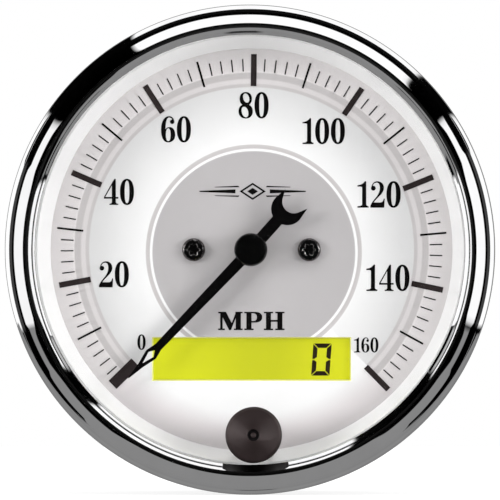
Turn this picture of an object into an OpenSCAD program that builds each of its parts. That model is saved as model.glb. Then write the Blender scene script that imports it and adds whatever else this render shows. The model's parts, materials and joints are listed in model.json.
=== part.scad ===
// Electric dashboard speedometer with a display window, for a round panel hole.
// All lengths are in millimetres. The dial's axis is Y, the dial faces the minus Y side,
// and Z is up. The origin is on the axis, in the plane where the bezel meets the panel.

/* [Case] */
// Outer radius of the barrel that goes through the panel hole
case_r = 39.4; // [38:0.1:41]
// Thickness of the barrel's wall
case_wall = 1.3; // [1:0.1:1.8]
// Distance from the panel's face to the case's back face
case_depth = 46; // [45:0.5:60]
// Thickness of the case's back wall
case_back_t = 1.6; // [1.2:0.1:2.4]
// Rounding of the case's back edge
case_edge_r = 1.4; // [0.6:0.1:1.8]
// Thickness of the case's front flange
flange_t = 1.2; // [0.8:0.1:2]
// Width of the ledge inside the barrel that carries the works
ledge_w = 0.9; // [0.5:0.1:1.4]

/* [Bezel] */
// Thickness of the bezel's sheet metal
sheet_t = 0.8; // [0.6:0.05:1]
// How far the bezel reaches past the barrel
bezel_over = 3.25; // [3:0.05:4.5]
// Rounding of the bezel's crest
rim_round = 2.2; // [1.9:0.05:2.3]
// Height of the crest above the edge of the inner lip
rim_rise = 3; // [2.4:0.1:4]
// How far the inner lip reaches inside the barrel's bore
lip_cover = 0.65; // [0.4:0.05:1.2]
// Width of the sloping inner lip
lip_w = 1.3; // [1:0.05:1.5]
// Height of the inner lip's slope
lip_rise = 1.1; // [0.6:0.05:1.6]
// Width of the dark groove between the lip and the crest
groove_w = 0.45; // [0.3:0.05:0.6]
// Width by which the crimped edge stays clear of the barrel
crimp_gap = 1.2; // [0.9:0.1:1.6]

/* [Lens and seals] */
// Thickness of the lens
lens_t = 2; // [1.5:0.1:3]
// Thickness of the seal in front of the lens
front_seal_t = 0.4; // [0.3:0.05:0.8]
// Thickness of the seal behind the lens
rear_seal_t = 0.6; // [0.4:0.05:1]

/* [Dial and light ring] */
// Distance from the back of the lens to the dial's face
dial_depth = 7.1; // [6.5:0.1:10]
// Thickness of the dial plate
dial_t = 1; // [0.6:0.1:1.5]
// Width of the light ring's foot on the dial
ring_foot = 2.75; // [2.2:0.05:3.5]
// Radius of the hole in the dial for the spindle
spindle_hole_r = 1.8; // [1.6:0.1:2.2]

/* [Scale] */
// Highest speed on the scale
top_speed = 160; // [120:20:200]
// Angle that the scale sweeps
scale_sweep = 269.8; // [240:0.1:271]
// Angle by which the printed scale is turned clockwise on the plate
scale_turn = 0.75; // [0:0.05:2]
// Distance from the dial's visible edge to the marks
mark_inset = 0.95; // [0.6:0.05:2]
// Length of a mark at every 20
major_len = 5.6; // [4:0.1:7]
// Width of a mark at every 20
major_w = 1; // [0.6:0.05:1.4]
// Length of a mark at every 10
medium_len = 4.6; // [3:0.1:6]
// Width of a mark at every 10
medium_w = 0.34; // [0.2:0.02:0.6]
// Length of a mark at every 2
minor_len = 2.2; // [1:0.05:3]
// Width of a mark at every 2
minor_w = 0.2; // [0.12:0.02:0.3]
// Width of the block at zero
zero_w = 2; // [1.2:0.1:3]
// Thickness of the printed marks
ink_t = 0.08; // [0.04:0.01:0.15]

/* [Dial screws] */
// Distance of each dial screw from the spindle
dial_screw_x = 10.1; // [9:0.1:12]
// Radius of a dial screw's head
screw_head_r = 2.02; // [1.7:0.02:2.3]
// Height of a dial screw's head
screw_head_h = 1.3; // [0.9:0.1:1.6]
// Radius of a dial screw's shank
screw_r = 0.95; // [0.8:0.05:1.1]

/* [Display] */
// Width of the display window
window_w = 34.8; // [28:0.1:36]
// Height of the display window
window_h = 7.65; // [6:0.05:8]
// Distance of the window's centre below the spindle
window_drop = 19.1; // [18.8:0.1:19.4]
// Border of the display panel hidden behind the dial
panel_border = 2; // [1.6:0.1:2.2]
// Thickness of the display panel
panel_t = 2; // [1.4:0.1:2.4]
// Thickness of the display's backlight
backlight_t = 3.6; // [2.5:0.1:3.8]
// Thickness of a contact strip
strip_w = 1.2; // [0.8:0.1:1.3]
// Thickness of the display board
display_board_t = 1.2; // [1:0.1:1.6]
// Width of the display board
display_board_w = 39.4; // [39:0.1:41]
// Height of the bosses that carry the display board
board_boss_h = 1.5; // [1.2:0.1:2]

/* [Carrier and light guide] */
// Thickness of the carrier's outer wall
carrier_wall = 1.4; // [1:0.1:1.8]
// Thickness of the carrier's floor
floor_t = 1.5; // [1.2:0.1:2]
// Height of the carrier's skirt behind its floor
skirt_h = 2.5; // [2:0.1:4]
// Thickness of the light guide
guide_t = 3; // [2.5:0.1:4]
// Radius of the light guide's legs
leg_r = 4; // [3:0.1:4.4]
// Length of the posts between the carrier and the main board
post_len = 25.5; // [25:0.5:27]
// Radius of a post
post_r = 2.5; // [2:0.1:2.6]

/* [Main board] */
// Thickness of the main board
main_board_t = 1.6; // [1.2:0.1:2]
// Gap between the main board's edge and the case
board_edge_gap = 1.2; // [0.6:0.1:1.8]
// Radius of a capacitor
capacitor_r = 4; // [3:0.1:4.2]
// Height of a capacitor
capacitor_h = 10; // [7:0.5:12]
// Width of the controller chip
chip_w = 10; // [7:0.5:11]

/* [Movement] */
// Radius of the shield around the movement
shield_r = 14; // [13.8:0.1:14.6]
// Thickness of the shield
shield_t = 0.8; // [0.5:0.1:0.9]
// Width of the coil former
former_w = 16; // [14:0.1:16.2]
// Length of the coil former
former_len = 12.2; // [11.6:0.1:12.6]
// Thickness of each winding
winding_t = 1.6; // [1.2:0.1:1.6]
// Width of each half of a winding
winding_w = 4; // [3:0.1:4.2]
// Gap between the two halves of a winding
winding_gap = 6.4; // [6.2:0.1:6.8]
// Radius of the magnet
magnet_r = 4.6; // [3.6:0.1:4.8]
// Thickness of the magnet
magnet_t = 3; // [2:0.1:3.2]
// Radius of the spindle
spindle_r = 0.6; // [0.5:0.05:0.8]
// Outer radius of the bearing bushes
bearing_r = 1.6; // [1.4:0.05:1.9]

/* [Pointer] */
// Distance from the marks' outer ends to the pointer's tip
pointer_short = 3.2; // [1.5:0.1:6]
// Angle of the resting pointer below the zero mark
pointer_rest = 2.1; // [0:0.1:4]
// Width of the arm at the hub
arm_w = 2.1; // [1.4:0.1:3]
// Width of the arm where it opens
arm_tip_w = 1.4; // [1:0.1:1.8]
// Length of the open diamond and the tip
diamond_len = 7.6; // [6:0.1:10]
// Width of the open diamond
diamond_w = 2.25; // [1.9:0.05:3]
// Distance from the spindle to the middle of the crescent tail
tail_len = 9.55; // [8:0.05:10]
// Radius of the crescent tail
tail_r = 2.85; // [2.4:0.05:3.2]
// Angle by which the tail turns from the arm's line
tail_turn = 2; // [0:0.5:4]
// Thickness of the pointer
pointer_t = 0.8; // [0.5:0.05:1]
// Height of the pointer's back above the dial
pointer_lift = 2.1; // [1.9:0.1:3]
// Radius of the hub cap
hub_r = 2.9; // [2.4:0.1:3.5]
// Height of the hub cap
hub_h = 2.5; // [2:0.1:3]

/* [Reset button] */
// Radius of the button's cap
button_r = 4.9; // [4.6:0.05:5.4]
// Height of the button's cap
button_h = 3.4; // [3.1:0.1:4]
// Sideways offset of the button
button_x = 0.7; // [0:0.1:1]
// Travel of the button
button_travel = 0.8; // [0.4:0.1:1]
// Radius of the button's stem
stem_r = 1.5; // [1.2:0.1:1.6]
// Outer radius of the guide bush in the lens
bush_r = 2.6; // [2.4:0.05:2.8]
// Radius of the guide bush's flange
bush_flange_r = 3.6; // [3.3:0.1:3.8]
// Length of the guide bush behind the lens
bush_tail = 1.8; // [1.2:0.1:2.2]
// Radius of the return spring, to the middle of its wire
spring_r = 2.3; // [2.25:0.05:2.5]
// Thickness of the return spring's wire
spring_wire = 0.36; // [0.25:0.01:0.4]
// Number of turns in the return spring
spring_turns = 5; // [4:1:7]
// Width of the switch under the button
switch_w = 6; // [5:0.1:6.2]
// Height of the switch under the button
switch_h = 3.2; // [3:0.1:3.4]

/* [Lamps] */
// Distance from the lamp's flange to the rounding of the case's back edge
lamp_inset = 4.2; // [4:0.1:4.6]
// Angle of the lamps above the level of the spindle
lamp_angle = 29.5; // [28:0.5:31]
// Radius of the lamp holder's body
holder_r = 4.95; // [4.4:0.05:5.1]
// Length of the lamp holder inside the case
holder_in = 7; // [5:0.5:8]
// Radius of the lamp holder's flange
holder_flange_r = 7.4; // [7:0.1:7.8]
// Height of the lamp holder's grip
grip_h = 4.5; // [3:0.5:6]
// Radius of the glass bulb
bulb_r = 2.5; // [2:0.1:2.8]
// Length of the glass bulb
bulb_len = 16; // [14:0.5:18]
// Angle that a lamp holder turns to unlock
twist_angle = 45; // [30:1:60]

/* [Connector] */
// Angle at which the connector's outer corner points from the middle
connector_angle = 222.8; // [222:0.1:223.6]
// Gap between the connector's outer corner and the barrel's inside
connector_gap = 0.4; // [0.3:0.1:1]
// Width of the connector's housing
connector_w = 14; // [12.6:0.1:14.4]
// Height of the connector's housing
connector_h = 24; // [22:0.1:24.4]
// Wall of the connector's housing
connector_wall = 1.4; // [1:0.1:1.6]
// How far the connector's housing stands out of the case
connector_out = 8; // [6:0.5:10]
// Distance between the pins
pin_pitch = 5; // [4:0.1:5.2]
// Width of a pin
pin_w = 1.2; // [0.8:0.1:1.5]

/* [Bracket and studs] */
// Radius of a stud
stud_r = 2.5; // [2:0.1:3]
// Distance from the barrel's outside to the middle of each stud
stud_inset = 11.4; // [10.6:0.1:13]
// Width of the bracket's strap
strap_w = 12; // [11:0.1:12.6]
// Thickness of the bracket's strap
strap_t = 1.2; // [1:0.1:1.4]
// Gap between the barrel and the bracket's legs
strap_gap = 1.4; // [1.3:0.05:1.5]
// Outer rounding of the bracket's corners
strap_bend_r = 3; // [2:0.1:4]
// Gap between the case's back and the bracket
bar_gap = 1.5; // [1:0.1:3]
// Distance from the bezel's seat to the bracket's feet
foot_gap = 2.3; // [2.1:0.1:4]
// How far the bracket backs off for a thick panel
bracket_travel = 8.6; // [6:0.2:12]
// Thickness of a washer
washer_t = 1; // [0.6:0.1:1.5]
// Outer radius of a washer
washer_r = 4.8; // [4.4:0.1:5.4]
// Radius of a nut's knurled head
nut_r = 6.5; // [6:0.1:7.5]
// Height of a nut
nut_h = 6; // [5:0.5:8]
// Number of grooves in a nut's knurl
nut_grooves = 24; // [16:2:30]

/* [Hidden] */
$fn = 96;
// Clearances: a fit that turns or slides, a loose fit, and parts that only stay clear
running = 0.05;
loose = 0.2;
clear = 0.3;

// Rounds along the axis, from the panel's face to the crest
flange_back = -sheet_t;
flange_front = flange_back - flange_t;
lens_back = flange_front - rear_seal_t;
lens_front = lens_back - lens_t;
lip_back = lens_front - front_seal_t;
lip_front = lip_back - sheet_t;
crest_y = lip_front - rim_rise;
groove_y = lip_front - lip_rise;

// Radii from the barrel outwards and inwards
case_in_r = case_r - case_wall;
ledge_r = case_in_r - ledge_w;
bezel_r = case_r + bezel_over;
skirt_in_r = bezel_r - sheet_t;
crimp_r = case_r + crimp_gap;
lip_r = case_in_r - lip_cover;
groove_in_r = lip_r + lip_w;
groove_out_r = groove_in_r + groove_w;
flange_r = skirt_in_r - clear;
lens_r = flange_r - clear;
ring_front_r = lip_r - 0.25;
works_r = case_in_r - loose;
dial_show_r = works_r - ring_foot;

// Places of the works behind the lens
dial_y = lens_back + dial_depth;
dial_back = dial_y + dial_t;
guide_gap = 0.5;
guide_front = dial_back + guide_gap;
floor_y = guide_front + guide_t;
floor_back = floor_y + floor_t;
ledge_y = floor_back + skirt_h;
carrier_in_r = works_r - carrier_wall;
main_y = floor_back + post_len;
main_back = main_y + main_board_t;
main_r = ledge_r - board_edge_gap;
case_back_in = case_depth - case_back_t;

// The scale
mark_r = dial_show_r - mark_inset;
speed_step = 2;
mark_count = top_speed / speed_step;
zero_angle = 90 + scale_sweep / 2 - scale_turn + 0.03;
mark_step = scale_sweep / mark_count;
marks_per_major = 10;
marks_per_medium = 5;
mark_draw = 0.83;

// The dial screws
boss_r = 3;
screw_len = dial_t + guide_gap + guide_t + 1.2;

// The display
window_z = -window_drop;
panel_w = window_w + 2 * panel_border;
panel_h = window_h + 2 * panel_border;
panel_front = dial_back + loose;
panel_back = panel_front + panel_t;
display_board_y = floor_back + board_boss_h;
display_board_back = display_board_y + display_board_t;
strip_z = panel_h / 2 - strip_w / 2;
display_board_top = window_z + panel_h / 2 + 4.2;
display_board_r = carrier_in_r - 0.5;
board_screw_x = display_board_w / 2 - 2.7;
board_screw_inset = 1.95;
board_screw_low = sqrt(pow(display_board_r - board_screw_inset, 2) - pow(board_screw_x, 2));
board_screw_high = -display_board_top + 1.6;
small_boss_r = 1.7;
strip_len = 2 * (board_screw_x - small_boss_r - clear);
small_screw_r = 0.7;
small_head_r = 1.5;
small_head_h = 1;

// The posts behind the carrier stand between the lamps, the display and the connector
post_ring_r = ledge_r - 5.2;
post_angles = [75, 194, 332];
post_screw_r = 1.1;
post_head_r = 2.1;
post_head_h = 1.4;
post_screw_len = 6;

// Places and sizes of the parts on the main board
regulator_w = 9;
regulator_h = 8;
regulator_t = 4.5;
regulator_x = -8;
regulator_z = main_r - 10.5;
crystal_w = 10;
crystal_h = 4.4;
crystal_t = 3.5;
crystal_x = 13.5;
crystal_z = main_r - 12.4;
chip_t = 1.6;
chip_x = main_r - 13;
chip_z = -4.2;
capacitor_ring = main_r - 10.8;
capacitor_angles = [280, 303];

// The ribbon between the two boards
ribbon_w = 12;
ribbon_t = 0.5;
ribbon_bow = 1;
ribbon_z = -(main_r - 2.6);

// The movement, from its shield's front to the feet of its rear flange
snout_r = 2.9;
shield_front = display_board_back + clear;
outer_coil_front = shield_front + shield_t + clear;
inner_coil_front = outer_coil_front + winding_t;
former_front = inner_coil_front + winding_t;
former_back = former_front + former_len;
inner_coil_back = former_back + winding_t;
outer_coil_back = inner_coil_back + winding_t;
flange_gap = 0.2;
movement_flange_t = 1.2;
movement_flange_y = outer_coil_back + flange_gap;
movement_flange_back = movement_flange_y + movement_flange_t;
former_mid = (former_front + former_back) / 2;
chamber_r = magnet_r + 0.7;
chamber_half = magnet_t / 2 + 0.5;
pillar_w = winding_gap - 0.4;
snout_front = floor_y + loose;
front_bearing_len = 2.5;
rear_bearing_y = former_mid + chamber_half + 0.6;
rear_bearing_len = 2.5;
spindle_back = rear_bearing_y + rear_bearing_len - loose;
terminal_r = 0.4;
terminal_ring = 10.6;
foot_r = 1.2;

// The pointer
pointer_back = dial_y - pointer_lift;
pointer_y = pointer_back - pointer_t;
pointer_angle = zero_angle + pointer_rest;
pointer_len = mark_r - pointer_short;
pointer_bush_r = 1.5;
bush_front = pointer_y - 1.2;
bush_back = pointer_back + 1.5;

// The reset button
button_z = -(lip_r - clear - button_r);
bush_flange_t = 0.6;
bush_front_y = lens_front - bush_flange_t;
bush_back_y = lens_back + bush_tail;
button_foot = lens_front - button_travel - 0.1;
button_top = button_foot - button_h;
button_roof = button_foot - 1.5;
button_wall = 0.8;
boss_foot = bush_front_y - button_travel - loose;
stem_front = button_top + 0.8;
retainer_t = 0.8;
retainer_r = bush_r + 1.4;
clip_t = 0.6;
clip_r = spring_r + 0.6;
clip_y = bush_back_y + running;
clip_back = clip_y + clip_t;
switch_front = display_board_y - switch_h;
plunger_r = 1.75;
plunger_out = 1;
plunger_in = 1.4;
plunger_front = switch_front - plunger_out;

// The lamps
lamp_sides = [-1, 1];
lamp_ring = case_r - case_edge_r - holder_flange_r - lamp_inset;
lamp_x = lamp_ring * cos(lamp_angle);
lamp_z = lamp_ring * sin(lamp_angle);
holder_front = case_back_in - holder_in;
lug_t = 1;
lug_w = 2.2;
lug_r = holder_r + 1.4;
holder_flange_t = 1.6;
bulb_socket = 4.6;
bulb_back = holder_front + bulb_socket;
bulb_front = bulb_back - bulb_len;
leg_end = bulb_front - 0.6;
lamp_hole_r = holder_r + running;
lamp_board_hole_r = holder_r + 2;

// The connector
connector_corner = around(ledge_r - connector_gap, connector_angle);
connector_x = connector_corner[0] + connector_w / 2;
connector_z = connector_corner[1] + connector_h / 2;
connector_base_t = 4;
connector_back = case_depth + connector_out;
pin_tip = 0.8;
pin_sink = 5.2;
pin_front = main_y - pin_tip;
pin_back = connector_back - pin_sink;
pin_rows = [-1.5, -0.5, 0.5, 1.5];
pin_columns = [-0.5, 0.5];
key_w = 2.4;

// The bracket, washers and nuts
stud_z = case_r - stud_inset;
bar_y = case_depth + bar_gap;
bar_back = bar_y + strap_t;
strap_in = case_r + strap_gap;
strap_out = strap_in + strap_t;
washer_back = bar_back + washer_t;
nut_back = washer_back + nut_h;
nut_collar_h = 1.6;
stud_end = nut_back + bracket_travel + 4;
stud_head_r = 4;
stud_head_t = 1.8;

// A body turned about the dial's axis, from points of radius and depth
module turned(points) {
    rotate([-90, 0, 0]) rotate_extrude() polygon(points);
}

// A round rod along Y from one depth to another
module rod(r, y0, y1, x = 0, z = 0) {
    translate([x, y0, z]) rotate([-90, 0, 0]) cylinder(r = r, h = y1 - y0);
}

// A tube along Y
module tube(r_out, r_in, y0, y1, x = 0, z = 0) {
    difference() {
        rod(r_out, y0, y1, x, z);
        rod(r_in, y0 - 1, y1 + 1, x, z);
    }
}

// A flat shape drawn in X and Z, from one depth to another
module slab(y0, y1) {
    translate([0, y1, 0]) rotate([90, 0, 0]) linear_extrude(y1 - y0) children();
}

// A block centred at x and z
module block(w, h, y0, y1, x = 0, z = 0) {
    translate([x - w / 2, y0, z - h / 2]) cube([w, y1 - y0, h]);
}

// Points of an arc in radius and depth; the angle counts from outwards to the front
function arc(r, y, radius, from, to, steps = 10) =
    [for (i = [0:steps]) let (a = from + (to - from) * i / steps)
        [r + radius * cos(a), y - radius * sin(a)]];

// Points on a circle in X and Z
function around(radius, angle) = [radius * cos(angle), radius * sin(angle)];

// A square section swept along points: rings of six points, joined side by side
function wire_ring(centre, side, up, radius) =
    [for (k = [0:5]) centre + radius * (cos(60 * k) * side + sin(60 * k) * up)];
function wire_faces(rings) = concat(
    [[for (k = [0:5]) k]],
    [for (i = [0:rings - 2], k = [0:5])
        [6 * i + k, 6 * (i + 1) + k, 6 * (i + 1) + (k + 1) % 6]],
    [for (i = [0:rings - 2], k = [0:5])
        [6 * i + k, 6 * (i + 1) + (k + 1) % 6, 6 * i + (k + 1) % 6]],
    [[for (k = [5:-1:0]) 6 * (rings - 1) + k]]
);

module bezel() {
    crest_r = bezel_r - rim_round;
    crest_centre = crest_y + rim_round;
    inner_round = rim_round - sheet_t;
    outer_end = acos((groove_out_r - crest_r) / rim_round);
    seat_r = groove_out_r + sheet_t;
    inner_end = acos((seat_r - crest_r) / inner_round);
    edge = 0.35;
    color("silver") turned(concat(
        [[bezel_r - edge, 0], [bezel_r, -edge]],
        arc(crest_r, crest_centre, rim_round, 0, outer_end, 24),
        [[groove_out_r, groove_y], [groove_in_r, groove_y], [lip_r, lip_front]],
        [[lip_r, lip_back], [seat_r, lip_back]],
        arc(crest_r, crest_centre, inner_round, inner_end, 0, 16),
        [[skirt_in_r, flange_back], [crimp_r, flange_back], [crimp_r, 0]]
    ));
}

module lens() {
    color([0.85, 0.9, 0.92, 0.3]) difference() {
        rod(lens_r, lens_front, lens_back);
        rod(bush_r + running, lens_front - 1, lens_back + 1, button_x, button_z);
    }
}

module front_seal() {
    seal_out = groove_out_r + sheet_t - 0.1;
    seal_in = lip_r + 0.3;
    color("black") tube(seal_out, seal_in, lip_back, lens_front);
}

module rear_seal() {
    color("black") tube(lens_r, case_in_r + loose, lens_back, flange_front);
}

module case() {
    color([0.1, 0.1, 0.11]) difference() {
        turned(concat(
            [[0, case_depth], [case_r - case_edge_r, case_depth]],
            arc(case_r - case_edge_r, case_depth - case_edge_r, case_edge_r, -90, 0, 6),
            [[case_r, flange_back], [flange_r, flange_back], [flange_r, flange_front]],
            [[case_in_r, flange_front], [case_in_r, ledge_y], [ledge_r, ledge_y]],
            [[ledge_r, case_back_in], [0, case_back_in]]
        ));
        for (side = lamp_sides) lamp_hole(side);
        block(connector_w + 2 * clear, connector_h + 2 * clear, case_back_in - 1,
            case_depth + 1, connector_x, connector_z);
        for (side = [-1, 1]) {
            rod(stud_r, case_back_in - 1, case_depth + 1, 0, side * stud_z);
        }
    }
}

// The round hole for a lamp holder, with its two notches
module lamp_hole(side) {
    rod(lamp_hole_r, case_back_in - 1, case_depth + 1, side * lamp_x, lamp_z);
    translate([side * lamp_x, 0, lamp_z]) rotate([0, twist_angle, 0])
        block(2 * lug_r + 2 * clear, lug_w + 2 * clear, case_back_in - 1, case_depth + 1);
}

module light_ring() {
    front = lens_back + 0.1;
    color("white") turned([
        [ring_front_r, front], [works_r, front], [works_r, dial_y], [dial_show_r, dial_y]
    ]);
}

module dial_plate() {
    color([0.86, 0.85, 0.84]) difference() {
        rod(works_r, dial_y, dial_back);
        rod(spindle_hole_r, dial_y - 1, dial_back + 1);
        for (side = [-1, 1]) {
            rod(screw_r + 0.1, dial_y - 1, dial_back + 1, side * dial_screw_x, 0);
        }
        block(window_w, window_h, dial_y - 1, dial_back + 1, 0, window_z);
        rod(stem_r + 0.4, dial_y - 1, dial_back + 1, button_x, button_z);
    }
}

// One printed mark, from its outer end inwards
module mark(angle, outer, len, w) {
    front = dial_y - ink_t;
    rotate([0, -angle, 0]) block(len, w, front, dial_y, outer - len / 2, 0);
}

module dial_scale() {
    color([0.05, 0.05, 0.05]) {
        mark(zero_angle, mark_r - 0.3, major_len, zero_w);
        for (i = [1:mark_count]) {
            angle = zero_angle - i * mark_step;
            if (i % marks_per_major == 0) mark(angle, mark_r, major_len, major_w);
            else if (i % marks_per_medium == 0) mark(angle, mark_r, medium_len, medium_w);
            else mark(angle, mark_r - mark_draw, minor_len, minor_w);
        }
    }
}

// A pan head screw with a six lobe socket, its head towards the front
module lobe_screw(x) {
    head_y = dial_y - screw_head_h;
    socket_r = screw_head_r * 0.45;
    difference() {
        union() {
            translate([x, 0, 0]) turned(concat(
                [[0, head_y], [screw_head_r - 0.6, head_y]],
                arc(screw_head_r - 0.6, head_y + 0.6, 0.6, 90, 0, 6),
                [[screw_head_r, dial_y], [0, dial_y]]
            ));
            rod(screw_r, dial_y, dial_y + screw_len, x, 0);
        }
        rod(socket_r * 0.8, head_y - 1, head_y + 0.8, x, 0);
        for (i = [0:5]) {
            lobe = around(socket_r * 0.8, 60 * i + 30);
            rod(socket_r * 0.33, head_y - 1, head_y + 0.8, x + lobe[0], lobe[1]);
        }
    }
}

module dial_screws() {
    color([0.07, 0.07, 0.07]) for (side = [-1, 1]) lobe_screw(side * dial_screw_x);
}

module light_guide() {
    color([0.85, 0.92, 0.95, 0.6]) difference() {
        union() {
            rod(carrier_in_r - clear, guide_front, floor_y);
            for (side = lamp_sides) rod(leg_r, floor_y - 1, leg_end, side * lamp_x, lamp_z);
        }
        rod(snout_r + 0.4, guide_front - 1, floor_y + 1);
        for (side = [-1, 1]) {
            rod(boss_r + clear, guide_front - 1, floor_y + 1, side * dial_screw_x, 0);
        }
        block(panel_w + 2 * clear, panel_h + 2 * clear, guide_front - 1, floor_y + 1,
            0, window_z);
        rod(switch_w * 0.8, guide_front - 1, floor_y + 1, button_x, button_z);
    }
}

module carrier() {
    color([0.94, 0.94, 0.92]) difference() {
        union() {
            turned([
                [0, floor_y], [carrier_in_r, floor_y], [carrier_in_r, dial_back],
                [works_r, dial_back], [works_r, ledge_y], [carrier_in_r, ledge_y],
                [carrier_in_r, floor_back], [0, floor_back]
            ]);
            for (side = [-1, 1]) {
                rod(boss_r, dial_back, floor_y + 1, side * dial_screw_x, 0);
            }
            board_bosses(small_boss_r, floor_back - 1, display_board_y);
            for (angle = post_angles) {
                place = around(post_ring_r, angle);
                rod(post_r, floor_back - 1, main_y, place[0], place[1]);
            }
        }
        rod(snout_r + 0.1, floor_y - 1, floor_back + 1);
        for (side = [-1, 1]) {
            rod(screw_r, dial_back - 1, dial_y + screw_len + 0.5, side * dial_screw_x, 0);
        }
        board_bosses(small_screw_r, floor_back + 0.3, display_board_y + 1);
        for (angle = post_angles) {
            place = around(post_ring_r, angle);
            rod(post_screw_r, main_back - post_screw_len - 0.5, main_y + 1, place[0], place[1]);
        }
        for (side = lamp_sides) {
            rod(leg_r + clear, floor_y - 1, floor_back + 1, side * lamp_x, lamp_z);
        }
        block(panel_w + 2 * clear, panel_h + clear, floor_y - 1, floor_back + 1, 0, window_z);
        block(switch_w + 2 * clear, switch_w + 2 * clear, floor_y - 1, floor_back + 1,
            button_x, button_z);
    }
}

// Round pieces at the display board's four screws
module board_bosses(r, y0, y1) {
    for (side = [-1, 1], drop = [board_screw_low, board_screw_high]) {
        rod(r, y0, y1, side * board_screw_x, -drop);
    }
}

module display_panel() {
    color([0.83, 0.87, 0.16]) block(panel_w, panel_h, panel_front, panel_back, 0, window_z);
}

module display_backlight() {
    light_h = panel_h - 2 * strip_w - 2 * clear;
    color([0.75, 0.85, 0.2]) block(panel_w - 4, light_h, display_board_y - backlight_t,
        display_board_y, 0, window_z);
}

module contact_strips() {
    color([0.85, 0.6, 0.65]) for (side = [-1, 1]) {
        block(strip_len, strip_w, panel_back, display_board_y, 0, window_z + side * strip_z);
    }
}

module display_board() {
    color([0.1, 0.4, 0.2]) difference() {
        slab(display_board_y, display_board_back) intersection() {
            circle(r = display_board_r);
            translate([-display_board_w / 2, -display_board_r - 1])
                square([display_board_w, display_board_r + 1 + display_board_top]);
        }
        board_bosses(small_screw_r + 0.1, display_board_y - 1, display_board_back + 1);
    }
}

module display_board_screws() {
    color("silver") {
        board_bosses(small_head_r, display_board_back, display_board_back + small_head_h);
        board_bosses(small_screw_r, floor_back + 0.4, display_board_back);
    }
}

module switch_body() {
    color([0.12, 0.12, 0.13]) difference() {
        block(switch_w, switch_w, switch_front, display_board_y, button_x, button_z);
        rod(plunger_r + running, switch_front - 1, switch_front + plunger_in + button_travel + 0.1,
            button_x, button_z);
    }
}

module switch_plunger() {
    color([0.6, 0.1, 0.1])
        rod(plunger_r, plunger_front, switch_front + plunger_in, button_x, button_z);
}

// Places of the board's holes for the connector pins
module pin_rods(w, y0, y1) {
    for (row = pin_rows, column = pin_columns) {
        block(w, w, y0, y1, connector_x + column * pin_pitch, connector_z + row * pin_pitch);
    }
}

module main_board() {
    color([0.1, 0.4, 0.2]) difference() {
        rod(main_r, main_y, main_back);
        for (side = lamp_sides) {
            rod(lamp_board_hole_r, main_y - 1, main_back + 1, side * lamp_x, lamp_z);
        }
        for (angle = post_angles) {
            place = around(post_ring_r, angle);
            rod(post_screw_r + 0.1, main_y - 1, main_back + 1, place[0], place[1]);
        }
        pin_rods(pin_w + 0.1, main_y - 1, main_back + 1);
        terminals(terminal_r + running, main_y - 1, main_back + 1);
    }
}

module main_board_screws() {
    color("silver") for (angle = post_angles) {
        place = around(post_ring_r, angle);
        rod(post_head_r, main_back, main_back + post_head_h, place[0], place[1]);
        rod(post_screw_r, main_back - post_screw_len, main_back, place[0], place[1]);
    }
}

module controller_chip() {
    color([0.08, 0.08, 0.09]) block(chip_w, chip_w, main_y - chip_t, main_y, chip_x, chip_z);
}

module capacitors() {
    color([0.15, 0.2, 0.45]) for (angle = capacitor_angles) {
        place = around(capacitor_ring, angle);
        rod(capacitor_r, main_y - capacitor_h, main_y, place[0], place[1]);
    }
}

module regulator() {
    color([0.08, 0.08, 0.09])
        block(regulator_w, regulator_h, main_y - regulator_t, main_y, regulator_x, regulator_z);
}

module crystal() {
    color("silver")
        block(crystal_w, crystal_h, main_y - crystal_t, main_y, crystal_x, crystal_z);
}

// A flat jumper ribbon between the two boards
module ribbon_link() {
    span = main_y - display_board_back;
    bow_z = ribbon_z + ribbon_bow;
    color([0.75, 0.75, 0.78]) translate([-ribbon_w / 2, 0, 0])
        rotate([90, 0, 90]) linear_extrude(ribbon_w) polygon([
            [display_board_back, ribbon_z],
            [display_board_back + span * 0.25, bow_z],
            [display_board_back + span * 0.75, bow_z],
            [main_y, ribbon_z],
            [main_y, ribbon_z + ribbon_t],
            [display_board_back + span * 0.75, bow_z + ribbon_t],
            [display_board_back + span * 0.25, bow_z + ribbon_t],
            [display_board_back, ribbon_z + ribbon_t]
        ]);
}

module former_front_half() {
    color([0.9, 0.88, 0.8]) difference() {
        union() {
            block(former_w, former_w, former_front, former_mid);
            rod(snout_r, snout_front, former_front + 1);
        }
        rod(bearing_r, snout_front - 1, snout_front + front_bearing_len);
        rod(spindle_r + clear, snout_front, former_mid + 1);
        rod(chamber_r, former_mid - chamber_half, former_mid + 1);
    }
}

module former_rear_half() {
    color([0.9, 0.88, 0.8]) difference() {
        union() {
            block(former_w, former_w, former_mid, former_back);
            block(pillar_w, pillar_w, former_back - 1, movement_flange_y + 0.5);
            rod(shield_r - shield_t - running, movement_flange_y, movement_flange_back);
            terminals(foot_r, movement_flange_back - 0.5, main_y);
        }
        rod(chamber_r, former_mid - 1, former_mid + chamber_half);
        rod(bearing_r, former_mid, rear_bearing_y + rear_bearing_len);
        terminals(terminal_r, movement_flange_y - 1, main_y + 1);
    }
}

// Round pieces at the movement's four terminals
module terminals(r, y0, y1) {
    for (i = [0:3]) {
        place = around(terminal_ring, 45 + 90 * i);
        rod(r, y0, y1, place[0], place[1]);
    }
}

// One half of a winding round the former, as a closed flat loop
module winding_half(front, back, half_w, offset_z) {
    difference() {
        block(2 * half_w, winding_w, front, back, 0, offset_z);
        block(2 * half_w - 2 * winding_t, winding_w + 2, front + winding_t,
            back - winding_t, 0, offset_z);
    }
}

module winding(front, back) {
    offset_z = winding_gap / 2 + winding_w / 2;
    for (side = [-1, 1]) {
        winding_half(front, back, former_w / 2 + winding_t, side * offset_z);
    }
}

module inner_winding() {
    color([0.72, 0.38, 0.18]) winding(inner_coil_front, inner_coil_back);
}

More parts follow.
